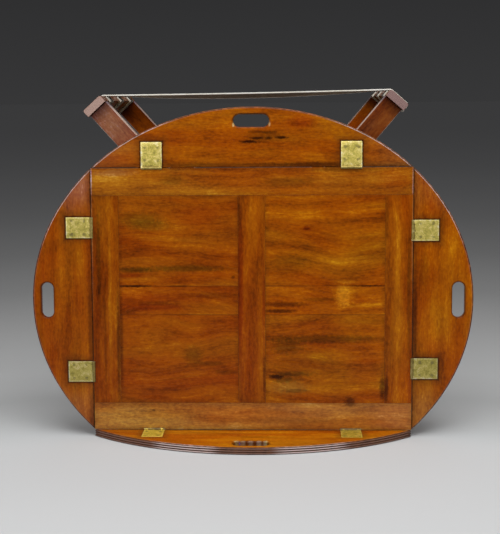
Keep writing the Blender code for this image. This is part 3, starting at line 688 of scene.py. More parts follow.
# Marks on flaps, along and out from the hinge line
FLAP_MARKS = {
    "back": (
        (-4, 56.5, 23, 3.8, DARK, 1), (12, 63.5, 16, 3.6, DARK, 0.9),
        (39, 64, 8, 3.6, DARK, 0.85), (66, 65, 15, 3.4, DARK, 1), (11, 78, 18, 3.2, DARK, 0.5),
        (41, 75.5, 15, 3.2, DARK, 0.5), (30, 69, 50, 14, OLIVE, 0.5),
        (112, 100, 32, 16, RED, 0.8), (95, 97, 10, 7, DARK, 0.3), (-190, 62, 60, 22, RED, 0.5),
        # (140, 7) and (-60, 6) darken along the seam: soiling and painted shade
        (140, 7, 120, 6, DARK, 0.7), (-60, 6, 200, 4.5, DARK, 0.45),
        # The shine marks are painted highlights on the hand hole's lower corners; (0, 116) is painted
        # shade on its upper edge
        (-80, 75, 60, 16, GLOW, 0.35), (-38.5, 94, 2.8, 5.5, SHINE, 0.65),
        (39.5, 95, 2.8, 6, SHINE, 0.75), (0, 116, 36, 2.2, DARK, 0.6)),
    "front": (
        # Painted shade in the hand hole, with a row of painted highlights on its wall
        (0, 88, 45, 6, SLOT_SHADE, 0.85), *((x, 88, 6, 5, SLOT_HIGHLIGHT, 0.8) for x in (-31, -17, 1, 18, 32)),
        # (0, 84) is painted shade along the hand hole's edge, and (0, 3) a painted shadow along the
        # seam
        (0, 84, 37, 2, DARK, 0.6), (-12, 56, 55, 6, DARK, 0.4), (0, 3, 330, 5, DARK, 0.6),
        (-50, 20, 120, 6, GLOW, 0.4)),
    "left": (
        (235, 35, 60, 45, SMOKE, 0.2), (-220, 20, 60, 50, GLOW, 0.7), (0, 30, 50, 12, RED, 0.3),
        (-100, 50, 40, 20, OLIVE, 0.2), (100, 40, 30, 20, OLIVE, 0.25),
        (60, 80, 14, 10, DARK, 0.15), (120, 90, 20, 20, DARK, 0.3), (80, 115, 60, 15, RED, 0.5),
        # (-60, 6) darkens along the seam: soiling and painted shade
        (-60, 6, 120, 5, DARK, 0.4), (40, 65, 60, 20, GLOW, 0.55)),
    "right": (
        (-130, 80, 40, 20, GLOW, 0.4), (-60, 25, 50, 14, OLIVE, 0.45),
        (110, 60, 40, 20, RED, 0.4), (0, 90, 30, 10, OLIVE, 0.3), (-200, 50, 30, 20, RED, 0.6),
        # (60, 6) darkens along the seam: soiling and painted shade
        (60, 6, 150, 5, DARK, 0.5), (30, 50, 70, 14, GLOW, 0.4)),
}


def marked(marks, middle=(0, 0)):
    """A change of colour that multiplies in soft-edged, ragged marks on a board's face."""
    def change(place, color):
        behind = fade(place.z, *MARKED_DEPTH, 2.0)
        ragged = noise(place.vector, (150, 150, 150), 4.0, 0.65) * 1.5 + behind
        for x, y, half_x, half_y, tint, strength in marks:
            offset = add(color.tree, "VectorMath", {
                0: place.vector, 1: (1 / (half_x * MM), 1 / (half_y * MM), 0),
                2: ((middle[0] / MM - x) / half_x, (middle[1] / MM - y) / half_y, 0)},
                operation="MULTIPLY_ADD")
            color = tinted(color, fade(length(offset) + ragged, *MARK_EDGE, strength), tint)
        return color
    return change


def border_soiling_and_shade(half_x, half_y):
    """Soiling and painted shade along the four edges of a board about its middle."""
    def distances(place):
        edge = calc("MINIMUM", half_x - abs(place.x), half_y - abs(place.y))
        return [(edge, 0.0022, 0.36), (edge, 0.012, 0.20)]
    return distances


# Tray panel

def hinge_line(side):
    """The axes of a side's hinges: along X, out of the tray +Y, out of its face +Z."""
    joint = JOINTS[side.name + "_flap_hinge"]
    return placed(Vector(joint["pos_m"]), Vector(joint["axis"]), NORMAL)


def leaf_seat(plate_turn, plate_length):
    """The recess and the barrel groove that a board has for a leaf."""
    half = LEAF_WIDTH / 2 + GAP
    recess = block((-half, half), (-OVERRUN, plate_length + GAP), (-LEAF_THICKNESS - GAP, OVERRUN))
    groove = moved(rod(BARREL_RADIUS + GAP, 2 * half, BARREL_STEPS), TO_X_AXIS)
    return moved(recess, plate_turn), groove


def board(name, seed, tint, x_span, y_span, sides=(), joints=(), **figure):
    """A board of the tray, with the seats of any hinges in its edge."""
    middle = Vector((sum(x_span) / 2, sum(y_span) / 2, 0))
    half_x = (x_span[1] - x_span[0]) / 2
    half_y = (y_span[1] - y_span[0]) / 2
    place = TRAY @ Matrix.Translation(middle)
    shape = prism_shape(rectangle((-half_x, half_x), (-half_y, half_y)), -BOARD_THICKNESS, 0,
                        BOARD_EASE)
    seats = []
    for side in sides:
        to_board = place.inverted() @ hinge_line(side)
        for hinge in (-side.hinge_place, side.hinge_place):
            at_hinge = to_board @ Matrix.Translation((hinge, 0, 0))
            for seat in leaf_seat(PLATE_DOWN, TRAY_LEAF_LENGTH):
                seats.append(("DIFFERENCE", moved(seat, at_hinge)))
    if seats:
        shape = shaped(shape, *seats)
    material = wood(name, seed, tint, dirt=border_soiling_and_shade(half_x, half_y),
                    changes=[marked(BOARD_MARKS[name], middle)],
                    joints=[joint * MM - middle.y for joint in joints], **figure)
    flatten_shading(add_piece(name + "_board", shape, place, "tray", "tray_wood", material, name))


def tray_panel():
    """Rails, stiles, muntin and panels."""
    half = PANEL_LENGTH / 2
    width = FRAME_BOARD_WIDTH
    inner = (width + BOARD_GAP, PANEL_DEPTH - width - BOARD_GAP)
    back, front, left, right = SIDES
    board("back_rail", 1, GOLDEN, (-half, half), (PANEL_DEPTH - width, PANEL_DEPTH), [back])
    board("front_rail", 2, POLISH_AND_SHEEN, (-half, half), (0, width), [front], streaks=CALM)
    board("left_stile", 3, RUSSET, (-half, width - half), inner, [left], grain=ALONG_Y)
    board("muntin", 4, AMBER, (-width / 2, width / 2), inner, grain=ALONG_Y)
    board("right_stile", 5, WARM, (half - width, half), inner, [right], grain=ALONG_Y)
    for name, seed, tint, x_span in (
            ("left_panel", 6, AMBER, (width - half + BOARD_GAP, -width / 2 - BOARD_GAP)),
            ("right_panel", 7, SUNLIT, (width / 2 + BOARD_GAP, half - width - BOARD_GAP))):
        board(name, seed, tint, x_span, inner, joints=(LOWER_LINE, UPPER_LINE), flow=WANDERING)


# Flaps

# Each flap's seed and tint, and where the painted sheen towards its ends starts, ends and how
# strong it is
SIDE_SHEEN = (0.17, 0.26, 0.6)
FLAP_WOODS = {"back": (8, SUNLIT, (0.22, 0.34, 0.7)), "front": (9, BRIGHT_AND_LIT, None),
              "left": (10, WARM, SIDE_SHEEN), "right": (11, SUNLIT, SIDE_SHEEN)}
# How strong the soiling and painted shadow round each flap's hinge leaves is
LEAF_SOILING_AND_SHADE = {"back": 0.92, "front": 0.45, "left": 0.92, "right": 0.92}

# Where light catches each flap's rim: the middle and the reach of each stretch, along the line
RIM_SHINE = {"back": ((-0.31, 0.17), (0.31, 0.17)), "front": ((0.14, 0.09), (-0.13, 0.10)),
             "left": ((0.29, 0.20),), "right": ((-0.29, 0.20),)}
RIM_DARKNESS = {"back": 0.35, "front": 0.85, "left": 0.35, "right": 0.35}
RIM_BROWN = (0.100, 0.037, 0.018)
# The colour of the painted highlights on the flaps' rims
RIM_HIGHLIGHT = (0.92, 0.76, 0.74)


def hand_hole_middle(side):
    """How far a flap's hand hole lies from the hinge line."""
    return side.outward - side.middle_offset - side.margin - HAND_HOLE_WIDTH / 2


def from_rim(place, side):
    """How far a place on a flap lies inside the oval outline, in metres."""
    out = (place.y + side.middle_offset) / side.outward
    along = place.x / side.along
    return (1.0 - calc("SQRT", out * out + along * along)) * OUTLINE_HALF_LENGTH


def from_groove(place):
    """How far a place on a rim lies above or below the nearest groove or lip."""
    return calc("PINGPONG", place.z * -1.0 - RIM_LIP, REED_HEIGHT / 2)


def flap_soiling_and_shade(side):
    """Soiling and painted shade by a flap's seam, hinge leaves and hand hole, and in its reeds."""
    def distances(place):
        past_end = abs(place.x) - (HAND_HOLE_LENGTH - HAND_HOLE_WIDTH) / 2
        hole = length_of(calc("MAXIMUM", past_end, 0.0),
                         place.y - hand_hole_middle(side)) - HAND_HOLE_WIDTH / 2
        seam = place.y - SEAM
        beside = abs(abs(place.x) - side.hinge_place) - LEAF_WIDTH / 2
        behind = (place.z + LEAF_THICKNESS * 2) * -4.0
        leaf = calc("MAXIMUM", calc("MAXIMUM", beside, place.y - LEAF_LENGTH), behind)
        on_face = calc("GREATER_THAN", from_rim(place, side), REED_DEPTH * 1.25)
        return [(seam, 0.0050, 0.85), (seam, 0.018, 0.36), (leaf, 0.0085, LEAF_SOILING_AND_SHADE[side.name]),
                (leaf, 0.022, 0.42), (hole, 0.0050, 0.55),
                (from_groove(place) + on_face, 0.0012, 0.75)]
    return distances


def dark_rim_and_highlights(side):
    """A change of colour that darkens a flap's reeds and paints highlights on their crests and on
    its upper arris.

    The painted highlights are strongest where the light catches the rim, on the arris and the
    reeds alike.
    """
    def change(place, color):
        inside = from_rim(place, side)
        rim = fade(inside, REED_DEPTH, REED_DEPTH * 1.4, RIM_DARKNESS[side.name])
        color = painted(color, rim, RIM_BROWN)
        lit = 0.0
        for middle, reach in RIM_SHINE[side.name]:
            lit = calc("MAXIMUM", lit, fade(abs(place.x - middle), reach * 0.5, reach))
        crest = fade(from_groove(place), REED_HEIGHT * 0.18, REED_HEIGHT * 0.40, 0.0, 0.9)
        # Painted highlights on the reeds' crests
        color = painted(color, rim * crest * calc("MAXIMUM", lit, 0.18), RIM_HIGHLIGHT)
        # A painted highlight on the upper arris
        arris = fade(abs(inside - (REED_DEPTH + RIM_LIP)), 0.0004, 0.0014, 0.60)
        upper = fade(place.z, -0.002, -0.0005, 0.0, 1.0)
        return painted(color, arris * upper * calc("MAXIMUM", lit, 0.12), RIM_HIGHLIGHT)
    return change


def sheen_at_ends(start, end, strength):
    """A painted sheen that takes over towards both ends of a board's X axis."""
    def change(place, color):
        ragged = noise(place.vector, (14, 22, 22), 4.0, 0.6) * 0.12 + abs(place.x)
        return tinted(color, fade(ragged, start, end, 0.0, strength), ENDS_SHEEN)
    return change


def rim_section():
    """The reeded rim from top to bottom: how far in, how far past the seam, and the height."""
    section = [(REED_DEPTH + RIM_LIP, RIM_LIP, 0), (REED_DEPTH, 0, -RIM_LIP)]
    for index in range(REED_COUNT):
        middle = -RIM_LIP - (index + 1 / 2) * REED_HEIGHT
        for step in range(1, REED_STEPS + 1):
            angle = pi / 2 - pi * step / REED_STEPS
            section.append((REED_DEPTH * (1 - cos(angle)), 0,
                            middle + REED_HEIGHT / 2 * sin(angle)))
    return section + [(REED_DEPTH + RIM_LIP, RIM_LIP, -BOARD_THICKNESS)]


def flap_outline(side, inset, past_seam, height):
    """One level of a flap's outline: the oval's arc and the straight hinge edge."""
    share = 1 - inset / OUTLINE_HALF_LENGTH
    edge = SEAM + past_seam
    start = asin((side.middle_offset + edge) / (side.outward * share))
    return [(side.along * share * x, side.outward * share * y - side.middle_offset, height)
            for x, y in arc((0, 0), 1, start, pi - start, RIM_STEPS)]


def hand_hole_walls(middle_y):
    """A round-ended slot whose edges are rounded over."""
    half = HAND_HOLE_LENGTH / 2 - HAND_HOLE_WIDTH / 2
    turns = [pi / 2 * step / ROUNDING_STEPS for step in range(ROUNDING_STEPS + 1)]
    levels = [(HAND_HOLE_ROUNDING * (1 - sin(turn)), HAND_HOLE_ROUNDING * (1 - cos(turn)))
              for turn in turns]
    levels = ([(flare, -drop) for flare, drop in levels]
              + [(flare, drop - BOARD_THICKNESS) for flare, drop in reversed(levels)])
    walls = []
    for flare, height in levels:
        radius = HAND_HOLE_WIDTH / 2 + flare
        loop = (arc((half, middle_y), radius, -pi / 2, pi / 2, HAND_HOLE_STEPS)
                + arc((-half, middle_y), radius, pi / 2, 3 * pi / 2, HAND_HOLE_STEPS))
        walls.append([(x, y, height) for x, y in loop])
    return walls


def flap_turn(side):
    """The turn of a flap at rest, from flat in line with the tray."""
    return Matrix.Rotation(-radians(JOINTS[side.name + "_flap_hinge"]["range_deg"][0]), 4, "X")


def flap(side, seed, tint, ends_sheen):
    """A flap's board, with the seats of its hinges."""
    rim = [flap_outline(side, *level) for level in rim_section()]
    seats = []
    top = -LEAF_THICKNESS - GAP
    for hinge in (-side.hinge_place, side.hinge_place):
        at_hinge = Matrix.Translation((hinge, 0, 0))
        spring = block((-SPRING_WIDTH / 2 - GAP, SPRING_WIDTH / 2 + GAP),
                       (-OVERRUN, BARREL_RADIUS + SPRING_LENGTH), (top - SPRING_THICKNESS - GAP, 0))
        for seat in (*leaf_seat(Matrix(), LEAF_LENGTH), spring):
            seats.append(("DIFFERENCE", moved(seat, at_hinge)))
    shape = shaped(plate_shape([rim, hand_hole_walls(hand_hole_middle(side))]), *seats)
    name = side.name + "_flap"
    changes = [sheen_at_ends(*ends_sheen)] if ends_sheen else []
    material = wood(name, seed, tint, dirt=flap_soiling_and_shade(side), streaks=PLAIN,
                    changes=[*changes, marked(FLAP_MARKS[side.name]), dark_rim_and_highlights(side)])
    made = add_piece(name + "_wood", shape, hinge_line(side) @ flap_turn(side), name, "tray_wood",
                     material, name + "_board")
    flatten_shading(made)


# Hinges

# A leaf: whose it is, its length, its first knuckle, its rows of screws and its plate's turn
Leaf = namedtuple("Leaf", "owner length first_knuckle row_shares turn")
LEAVES = (Leaf("flap", LEAF_LENGTH, 0, LEAF_SCREW_ROW_SHARES, Matrix()),
          Leaf("tray", TRAY_LEAF_LENGTH, 1, TRAY_SCREW_ROW_SHARES, PLATE_DOWN))

# The brass of each side: its first seed, how bright both hinges are (their patina, and painted
# light that makes the higher hinges brighter), a tint, and the barrels' soiling and painted shade
SideBrass = namedtuple("SideBrass", "seed brightness tint barrel_dirt")
SIDE_BRASS = {"back": SideBrass(15, (1.15, 1.20), (1, 1, 1), 0.60),
              "front": SideBrass(18, (0.69, 0.92), (1.08, 0.98, 0.42), 0.95),
              "left": SideBrass(21, (0.72, 0.95), (1, 1, 1), 0.60),
              "right": SideBrass(24, (1.02, 0.72), (1, 1, 1), 0.60)}
BRASS_TONES = [(0.12, (0.25, 0.20, 0.045)), (0.36, (0.50, 0.41, 0.075)),
               (0.56, (0.68, 0.55, 0.125)), (0.72, (0.83, 0.68, 0.25)), (0.95, (0.98, 0.88, 0.55))]
BRASS_SEED_STEP = Vector((0.7, 0.3, 0.1))
SCREW_DIRT = (0.12, 0.10, 0.05)
# Soiling on the hinge barrels, which on the front hinges is mostly painted shade
BARREL_BROWN = (0.16, 0.10, 0.035)


def screw_places(leaf):
    """Where a leaf's screws are, with the turn of each slot."""
    places = []
    for column in (-LEAF_SCREW_COLUMN, LEAF_SCREW_COLUMN):
        for row in leaf.row_shares:
            turn = Matrix.Rotation(SLOT_TURN * (len(places) + 1), 4, "Z")
            places.append(Matrix.Translation((column, leaf.length * row, 0)) @ turn)
    return places


def leaf_shape(leaf):
    """A leaf: plate, knuckles, pin bore and countersinks."""
    half = LEAF_WIDTH / 2
    start = BARREL_RADIUS + GAP
    end = leaf.length - LEAF_CORNER
    outline = [(-half, start), (half, start),
               *arc((half - LEAF_CORNER, end), LEAF_CORNER, 0, pi / 2, LEAF_CORNER_STEPS),
               *arc((LEAF_CORNER - half, end), LEAF_CORNER, pi / 2, pi, LEAF_CORNER_STEPS)]
    plate = prism_shape(outline, -LEAF_THICKNESS, 0, LEAF_EASE, LEAF_EASE_STEPS)
    steps = []
    pitch = LEAF_WIDTH / KNUCKLES
    for knuckle in range(leaf.first_knuckle, KNUCKLES, 2):
        middle = (knuckle + 1 / 2) * pitch - half
        span = (middle - pitch / 2 + GAP / 2, middle + pitch / 2 - GAP / 2)
        root = block(span, (0, start + OVERRUN), (HAIR - LEAF_THICKNESS, -HAIR))
        steps.append(("UNION", moved(root, leaf.turn)))
        barrel = moved(rod(BARREL_RADIUS, span[1] - span[0], BARREL_STEPS), TO_X_AXIS)
        steps.append(("UNION", moved(barrel, Matrix.Translation((middle, 0, 0)))))
    bore = moved(rod(PIN_RADIUS + GAP, LEAF_WIDTH + 2 * OVERRUN, BARREL_STEPS), TO_X_AXIS)
    steps.append(("DIFFERENCE", bore))
    for place in screw_places(leaf):
        sink = rod(SCREW_SHANK_RADIUS, SCREW_HEAD_HEIGHT, SCREW_STEPS, SCREW_HEAD_RADIUS + GAP)
        lowered = Matrix.Translation((0, 0, LEAF_EASE - SCREW_HEAD_HEIGHT / 2))
        steps.append(("DIFFERENCE", moved(sink, leaf.turn @ place @ lowered)))
    return shaped(moved(plate, leaf.turn), *steps)


def screws_shape(leaf):
    """The heads of a leaf's countersunk screws, each with its slot."""
    heads = []
    for place in screw_places(leaf):
        head = rod(SCREW_SHANK_RADIUS, SCREW_HEAD_HEIGHT, SCREW_STEPS, SCREW_HEAD_RADIUS)
        moved(head, Matrix.Translation((0, 0, -SCREW_HEAD_HEIGHT / 2)))
        slot = block((-SCREW_SLOT / 2, SCREW_SLOT / 2), (-SCREW_HEAD_RADIUS - GAP,
                     SCREW_HEAD_RADIUS + GAP), (-SCREW_SLOT_DEPTH, OVERRUN))
        head = shaped(head, ("DIFFERENCE", slot))
        sunk = Matrix.Translation((0, 0, -SCREW_SUNK))
        heads.append(moved(head, leaf.turn @ place @ sunk))
    return joined(*heads)


def brass(name, seed, tint, barrel_dirt):
    """Old brass: dull and yellow-green, with pale rubbed edges and soiled rings round the screws."""
    material, tree, shader = new_material(name)
    place = split(object_space(tree))
    shifted = add(tree, "Mapping", {"Vector": place.vector, "Location": seed * BRASS_SEED_STEP})
    cloud = noise(shifted, (85, 85, 85), 5.0, 0.65, 0.4)
    speck = noise(shifted, (420, 420, 420), 3.0, 0.6)
    side = abs(place.x)
    from_edge = calc("MINIMUM", LEAF_WIDTH / 2 - side, LEAF_LENGTH - place.y)
    rubbed = fade(from_edge, 0.0012, 0.0040)
    color = ramp(cloud * 1.5 + speck * 0.9 + rubbed * 0.20 + 0.5, times(tint, BRASS_TONES))
    for row in LEAF_SCREW_ROW_SHARES:
        distance = length_of(side - LEAF_SCREW_COLUMN, place.y - row * LEAF_LENGTH)
        ring = fade(cloud * 0.012 + distance, SCREW_HEAD_RADIUS * 0.5, SCREW_HEAD_RADIUS * 1.25, 0.5)
        color = painted(color, ring, SCREW_DIRT)
    # The barrels darker: soiling, and on the front hinges painted shade
    barrel = fade(cloud * 0.016 + abs(place.y), 0.002, 0.006, barrel_dirt)
    feed(shader, {
        "Base Color": painted(color, barrel, BARREL_BROWN), "Metallic": 0.45,
        "Roughness": speck * 0.2 - cloud * 0.35 + 0.50,
        "Normal": bump(cloud * 0.7 + speck * 0.5, FINE_RELIEF)})
    return material


def hinges(side, steel_material):
    """Both hinges of a side: leaves, pin and screws."""
    flap_body = side.name + "_flap"
    style = SIDE_BRASS[side.name]
    for index, label in enumerate("ab"):
        along = (2 * index - 1) * side.hinge_place
        at_hinge = hinge_line(side) @ Matrix.Translation((along, 0, 0))
        places = {"flap": (at_hinge @ flap_turn(side), flap_body), "tray": (at_hinge, "tray")}
        # How bright each hinge's brass is: its patina, and painted light that brightens the higher
        # hinges
        tint = [style.brightness[index] * part for part in style.tint]
        material = brass(f"{side.name}_brass_{label}", style.seed + index, tint,
                         style.barrel_dirt)
        for kind, shape_of in (("plate", leaf_shape), ("screws", screws_shape)):
            for leaf in LEAVES:
                nodes = [f"{side.name}_{leaf.owner}_leaf_{label}"] if kind == "plate" else []
                add_piece(f"{side.name}_{leaf.owner}_{kind}_{label}", shape_of(leaf),
                          *places[leaf.owner], "brass", material, *nodes)
        pin = moved(rod(PIN_RADIUS, LEAF_WIDTH, BARREL_STEPS), TO_X_AXIS)
        add_piece(f"{side.name}_pin_{label}", pin, at_hinge, "tray", "brass", material,
                  f"{side.name}_hinge_pin_{label}")
        paint(frame["nodes"][f"{flap_body}_spring_{label}"], steel_material)


# Stand

# A painted highlight on the legs' long edges
EDGE_HIGHLIGHT = (0.55, 0.46, 0.40)
LEG_REDDISH = (1.25, 0.70, 0.35)
LEG_SHADE = (0.20, 0.16, 0.3)
OUTER_ENDS = (0.48, 0.32, 0.27)   # the end grain of the outer frame's bars
INNER_ENDS = (0.30, 0.19, 0.18)


def rail_section(turn):
    """A rail's section: flat on the legs, rounded on top, proud of the legs' outer edges."""
    inner = LEG_WIDTH / 2
    outer = inner + RAIL_OVERHANG
    level = RAIL_OUTER_FACE - RAIL_ROUNDING
    section = [(inner, RAIL_INNER_FACE),
               *arc((inner - RAIL_ROUNDING, level), RAIL_ROUNDING, 0, pi / 2, RAIL_STEPS),
               *arc((RAIL_ROUNDING - outer, level), RAIL_ROUNDING, pi / 2, pi, RAIL_STEPS),
               (-outer, RAIL_INNER_FACE)]
    return [(turn * x, z) for x, z in section]


def leg_highlights_and_shade(tilt):
    """A change of colour that paints highlights on a leg's long edges and shade under its rail."""
    def change(place, color):
        across = abs(place.x * cos(tilt) - place.z * sin(tilt))
        up = place.x * sin(tilt) + place.z * cos(tilt)
        color = painted(color, fade(LEG_WIDTH / 2 - across, 0.0008, 0.0020, 0.65), EDGE_HIGHLIGHT)
        reddish = fade(up, LEG_REACH - 0.140, LEG_REACH - 0.060, 0.5)
        color = tinted(color, reddish, LEG_REDDISH)
        return tinted(color, fade(up, LEG_REACH - 0.035, LEG_REACH, 0.0, 0.85), LEG_SHADE)
    return change


def end_grain(tone):
    """A change of colour on the faces across a bar that lies along Y."""
    def change(place, color):
        normal = split(add(color.tree, "TexCoord", {}, "Normal"))
        return painted(color, fade(abs(normal.y), 0.55, 0.95, 0.0, 0.9), tone)
    return change


def stand_frame(name, turn, front_tint, end_tone, seed):
    """Legs, rail and stretcher of one frame, at the depths of their CAD nodes.

    turn is 1 for the frame whose top leans left and -1 for the other.
    """
    tilt = -turn * LEG_LEAN - STAND_TURN
    half = LEG_WIDTH / 2
    foot = [(x, (x * sin(tilt) - PIVOT.z) / cos(tilt)) for x in (-half, half)]
    leg = [*foot, (half, LEG_REACH), (-half, LEG_REACH)]
    bar = rectangle((-STRETCHER_THICKNESS / 2, STRETCHER_THICKNESS / 2),
                    (-STRETCHER_REACH - STRETCHER_WIDTH / 2, -STRETCHER_REACH + STRETCHER_WIDTH / 2))
    inside = [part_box(name + "_front_leg")[1][1] + GAP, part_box(name + "_rear_leg")[0][1] - GAP]
    up_the_leg = (0, pi / 2 - tilt, 0)
    for part, outline, ease, grain, span, tint, change in (
            ("front_leg", leg, LEG_EASE, up_the_leg, None, front_tint, leg_highlights_and_shade(tilt)),
            ("rear_leg", leg, LEG_EASE, up_the_leg, None, RUSSET, leg_highlights_and_shade(tilt)),
            ("rail", rail_section(turn), RAIL_EASE, ALONG_Y, None, BROWN, end_grain(end_tone)),
            ("stretcher", bar, STRETCHER_EASE, ALONG_Y, inside, BROWN, end_grain(end_tone))):
        low, high = span or (corner[1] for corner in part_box(f"{name}_{part}"))
        shape = moved(prism_shape(outline, PIVOT.y - high, PIVOT.y - low, ease), TO_XZ_PLANE)
        seed += 1
        material = wood(f"{name}_{part}", seed, tint, grain, changes=[change])
        made = add_piece(f"{name}_{part}_wood", moved(shape, Matrix.Rotation(tilt, 4, "Y")),
                         Matrix.Translation(PIVOT), name + "_frame", "stand_wood", material,
                         f"{name}_{part}")
        flatten_shading(made)


def steel():
    """Dull steel with faint rust."""
    material, tree, shader = new_material("dull_steel")
    cloud = noise(object_space(tree), (90, 90, 90), 4.0, 0.6)
    color = ramp(cloud * 1.6 + 0.5, [(0.2, (0.16, 0.10, 0.06)), (0.5, (0.33, 0.31, 0.28)),
                                     (0.8, (0.48, 0.47, 0.45))])
    feed(shader, {"Base Color": color, "Metallic": 0.9, "Roughness": cloud * 0.4 + 0.48,
                  "Normal": bump(cloud, FINE_RELIEF)})
    return material


# Straps

CREAM = [(0.2, (0.62, 0.56, 0.44)), (0.5, (0.90, 0.87, 0.77)), (0.8, (0.97, 0.96, 0.90))]
JUTE = [(0.25, (0.050, 0.030, 0.010)), (0.55, (0.170, 0.105, 0.040)), (0.85, (0.40, 0.29, 0.15))]


def left_rail_point(along, across):
    """A point of the outer frame's section, in axes along the stand's middle plane."""
    return Vector((across * cos(LEG_LEAN) - along * sin(LEG_LEAN),
                   along * cos(LEG_LEAN) + across * sin(LEG_LEAN)))


def strap_path():
    """The strap's middle line: round the left rail, across, and round the right rail.

    Each point is paired with its share of the slack.
    """
    clear = GAP + STRAP_THICKNESS / 2
    outward = pi / 2 + LEG_LEAN
    inner = LEG_WIDTH / 2
    outer = inner + RAIL_OVERHANG
    level = RAIL_OUTER_FACE - RAIL_ROUNDING
    top = left_rail_point(level, inner - RAIL_ROUNDING)
    run_height = top.y + RAIL_ROUNDING + clear
    left = [left_rail_point(LEG_REACH + STRAP_END, inner + clear)]
    for corner, rounding, start, end in (
            (left_rail_point(RAIL_INNER_FACE, inner), 0, outward - pi / 2, outward - pi),
            (left_rail_point(RAIL_INNER_FACE, -outer), 0, outward + pi, outward + pi / 2),
            (left_rail_point(level, RAIL_ROUNDING - outer), RAIL_ROUNDING, outward + pi / 2, outward),
            (top, RAIL_ROUNDING, outward, pi / 2)):
        left += arc(corner, rounding + clear, start, end, STRAP_TURN_STEPS)
    run = []
    for step in range(1, STRAP_RUN_STEPS):
        x = top.x * (1 - 2 * step / STRAP_RUN_STEPS)
        slack = 1 - (x / top.x) ** 2
        run.append(((x, run_height - STRAP_SAG * slack), slack))
    right = [((-x, height), 0.0) for x, height in reversed(left)]
    whole = [(point, 0.0) for point in left] + run + right
    return [(Vector(point), slack) for point, slack in whole]


def lengths_along(path):
    """How far along a path each of its points lies."""
    lengths = [0.0]
    for before, after in zip(path, path[1:]):
        lengths.append(lengths[-1] + (after - before).length)
    return lengths


def strap_shape(width, droop):
    """A band of webbing along the strap's path, with its length and width as UV in metres.

    The rear selvedge droops between the rails.
    """
    path, slacks = zip(*strap_path())
    half = STRAP_THICKNESS / 2
    section = [(-width / 2 + width * i / STRAP_WIDE_STEPS, half) for i in range(STRAP_WIDE_STEPS + 1)]
    section += [(y, -n) for y, n in reversed(section)]
    shape = bmesh.new()
    uv = shape.loops.layers.uv.new("webbing")
    rings = []
    spots = {}
    for i, (point, length_there) in enumerate(zip(path, lengths_along(path))):
        along = (path[min(i + 1, len(path) - 1)] - path[max(i - 1, 0)]).normalized()
        out = Vector((-along.y, along.x))
        ring = [shape.verts.new((point.x + out.x * n, y, point.y + out.y * n
                                 - droop * slacks[i] * (y / width + 1 / 2))) for y, n in section]
        spots.update((vert, (length_there, y)) for vert, (y, _) in zip(ring, section))
        rings.append(ring)
    for near, far in zip(rings, rings[1:]):
        for j in range(len(section)):
            shape.faces.new((near[j - 1], near[j], far[j], far[j - 1]))
    for end in (0, -1):
        shape.faces.new(rings[end])
    for face in shape.faces:
        for loop in face.loops:
            loop[uv].uv = spots[loop.vert]
    return shape


def webbing(width):
    """Brown herringbone webbing with cream selvedges and ends."""
    material, tree, shader = new_material("webbing")
    spot = split(add(tree, "UVMap", {}, uv_map="webbing"))
    whole = lengths_along([point for point, _ in strap_path()])[-1]
    across = abs(spot.y)
    slant = calc("PINGPONG", across, HERRINGBONE_WIDTH)
    hatch = calc("SINE", (spot.x + slant) * (2 * pi / HATCH_PITCH))
    fuzz = noise(spot.vector, (160, 420, 1), 3.0)
    soil = noise(spot.vector, (14, 30, 1), 3.0)
    from_end = calc("MINIMUM", spot.x, whole - spot.x)
    wrapped = fade(from_end, WRAPPED_LENGTH * 0.9, WRAPPED_LENGTH)
    selvedge = fade(width / 2 - across, SELVEDGE * 0.8, SELVEDGE)
    shown = calc("SUBTRACT", selvedge, wrapped, clamp=True)
    pale = calc("MAXIMUM", shown, fade(from_end, STRAP_END, STRAP_END * 1.3, 0.6))
    cream = ramp(soil + fuzz * 0.5 + 0.55, CREAM)
    jute = ramp(hatch * 0.32 + soil * 0.6 + fuzz * 0.4 + 0.5, JUTE)
    feed(shader, {"Base Color": painted(jute, pale, cream), "Roughness": 0.9,
                  "Specular IOR Level": 0.15, "Sheen Weight": 0.15,
                  "Normal": bump(hatch * 0.4 + fuzz * 0.6, 0.0003)})
    return material


def straps():
    """The three straps, slack between the frames when the stand folds."""
    low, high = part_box("middle_strap")
    width = high[1] - low[1]
    material = webbing(width)
    turned = Matrix.Rotation(-STAND_TURN, 4, "Y")
    for label, droop in STRAP_DROOPS.items():
        name = label + "_strap"
        low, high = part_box(name)
        place = Matrix.Translation((PIVOT.x, (low[1] + high[1]) / 2, PIVOT.z))
        shape = moved(strap_shape(width, droop), turned)
        made = add_piece(name + "_webbing", shape, place, None, "webbing", material, name)
        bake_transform(made)


# Room: the floor's colour is a painted pool of light in front of the tray, darker away from it

FLOOR_RADIUS = 300.0
FLOOR_STEPS = 96
POOL = Vector((0, -1.6, 0))
POOL_REACH = 4.0          # where the floor's ramp has come half way
# Painted light: the tones fall away from the pool, with a painted shadow band where the tray's shadow
# falls
FLOOR_TONES = [
    *((near, (grey, grey, grey)) for near, grey in (
        (0.0, 0.68), (0.13, 0.70), (0.22, 0.76), (0.30, 0.78), (0.36, 0.71), (0.42, 0.59),
        (0.47, 0.46), (0.54, 0.38), (0.60, 0.42))),
    (0.66, (0.48, 0.485, 0.485)), (0.69, (0.43, 0.435, 0.435)), (0.715, (0.53, 0.54, 0.54)),
    (0.74, (0.58, 0.59, 0.595)), (0.80, (0.585, 0.595, 0.60))]
ROOM_TONES = [(0.0, (0.038, 0.038, 0.039)), (0.09, (0.029, 0.029, 0.030)),
              (0.30, (0.045, 0.045, 0.046)), (1.0, (0.075, 0.075, 0.077))]  # horizon to zenith

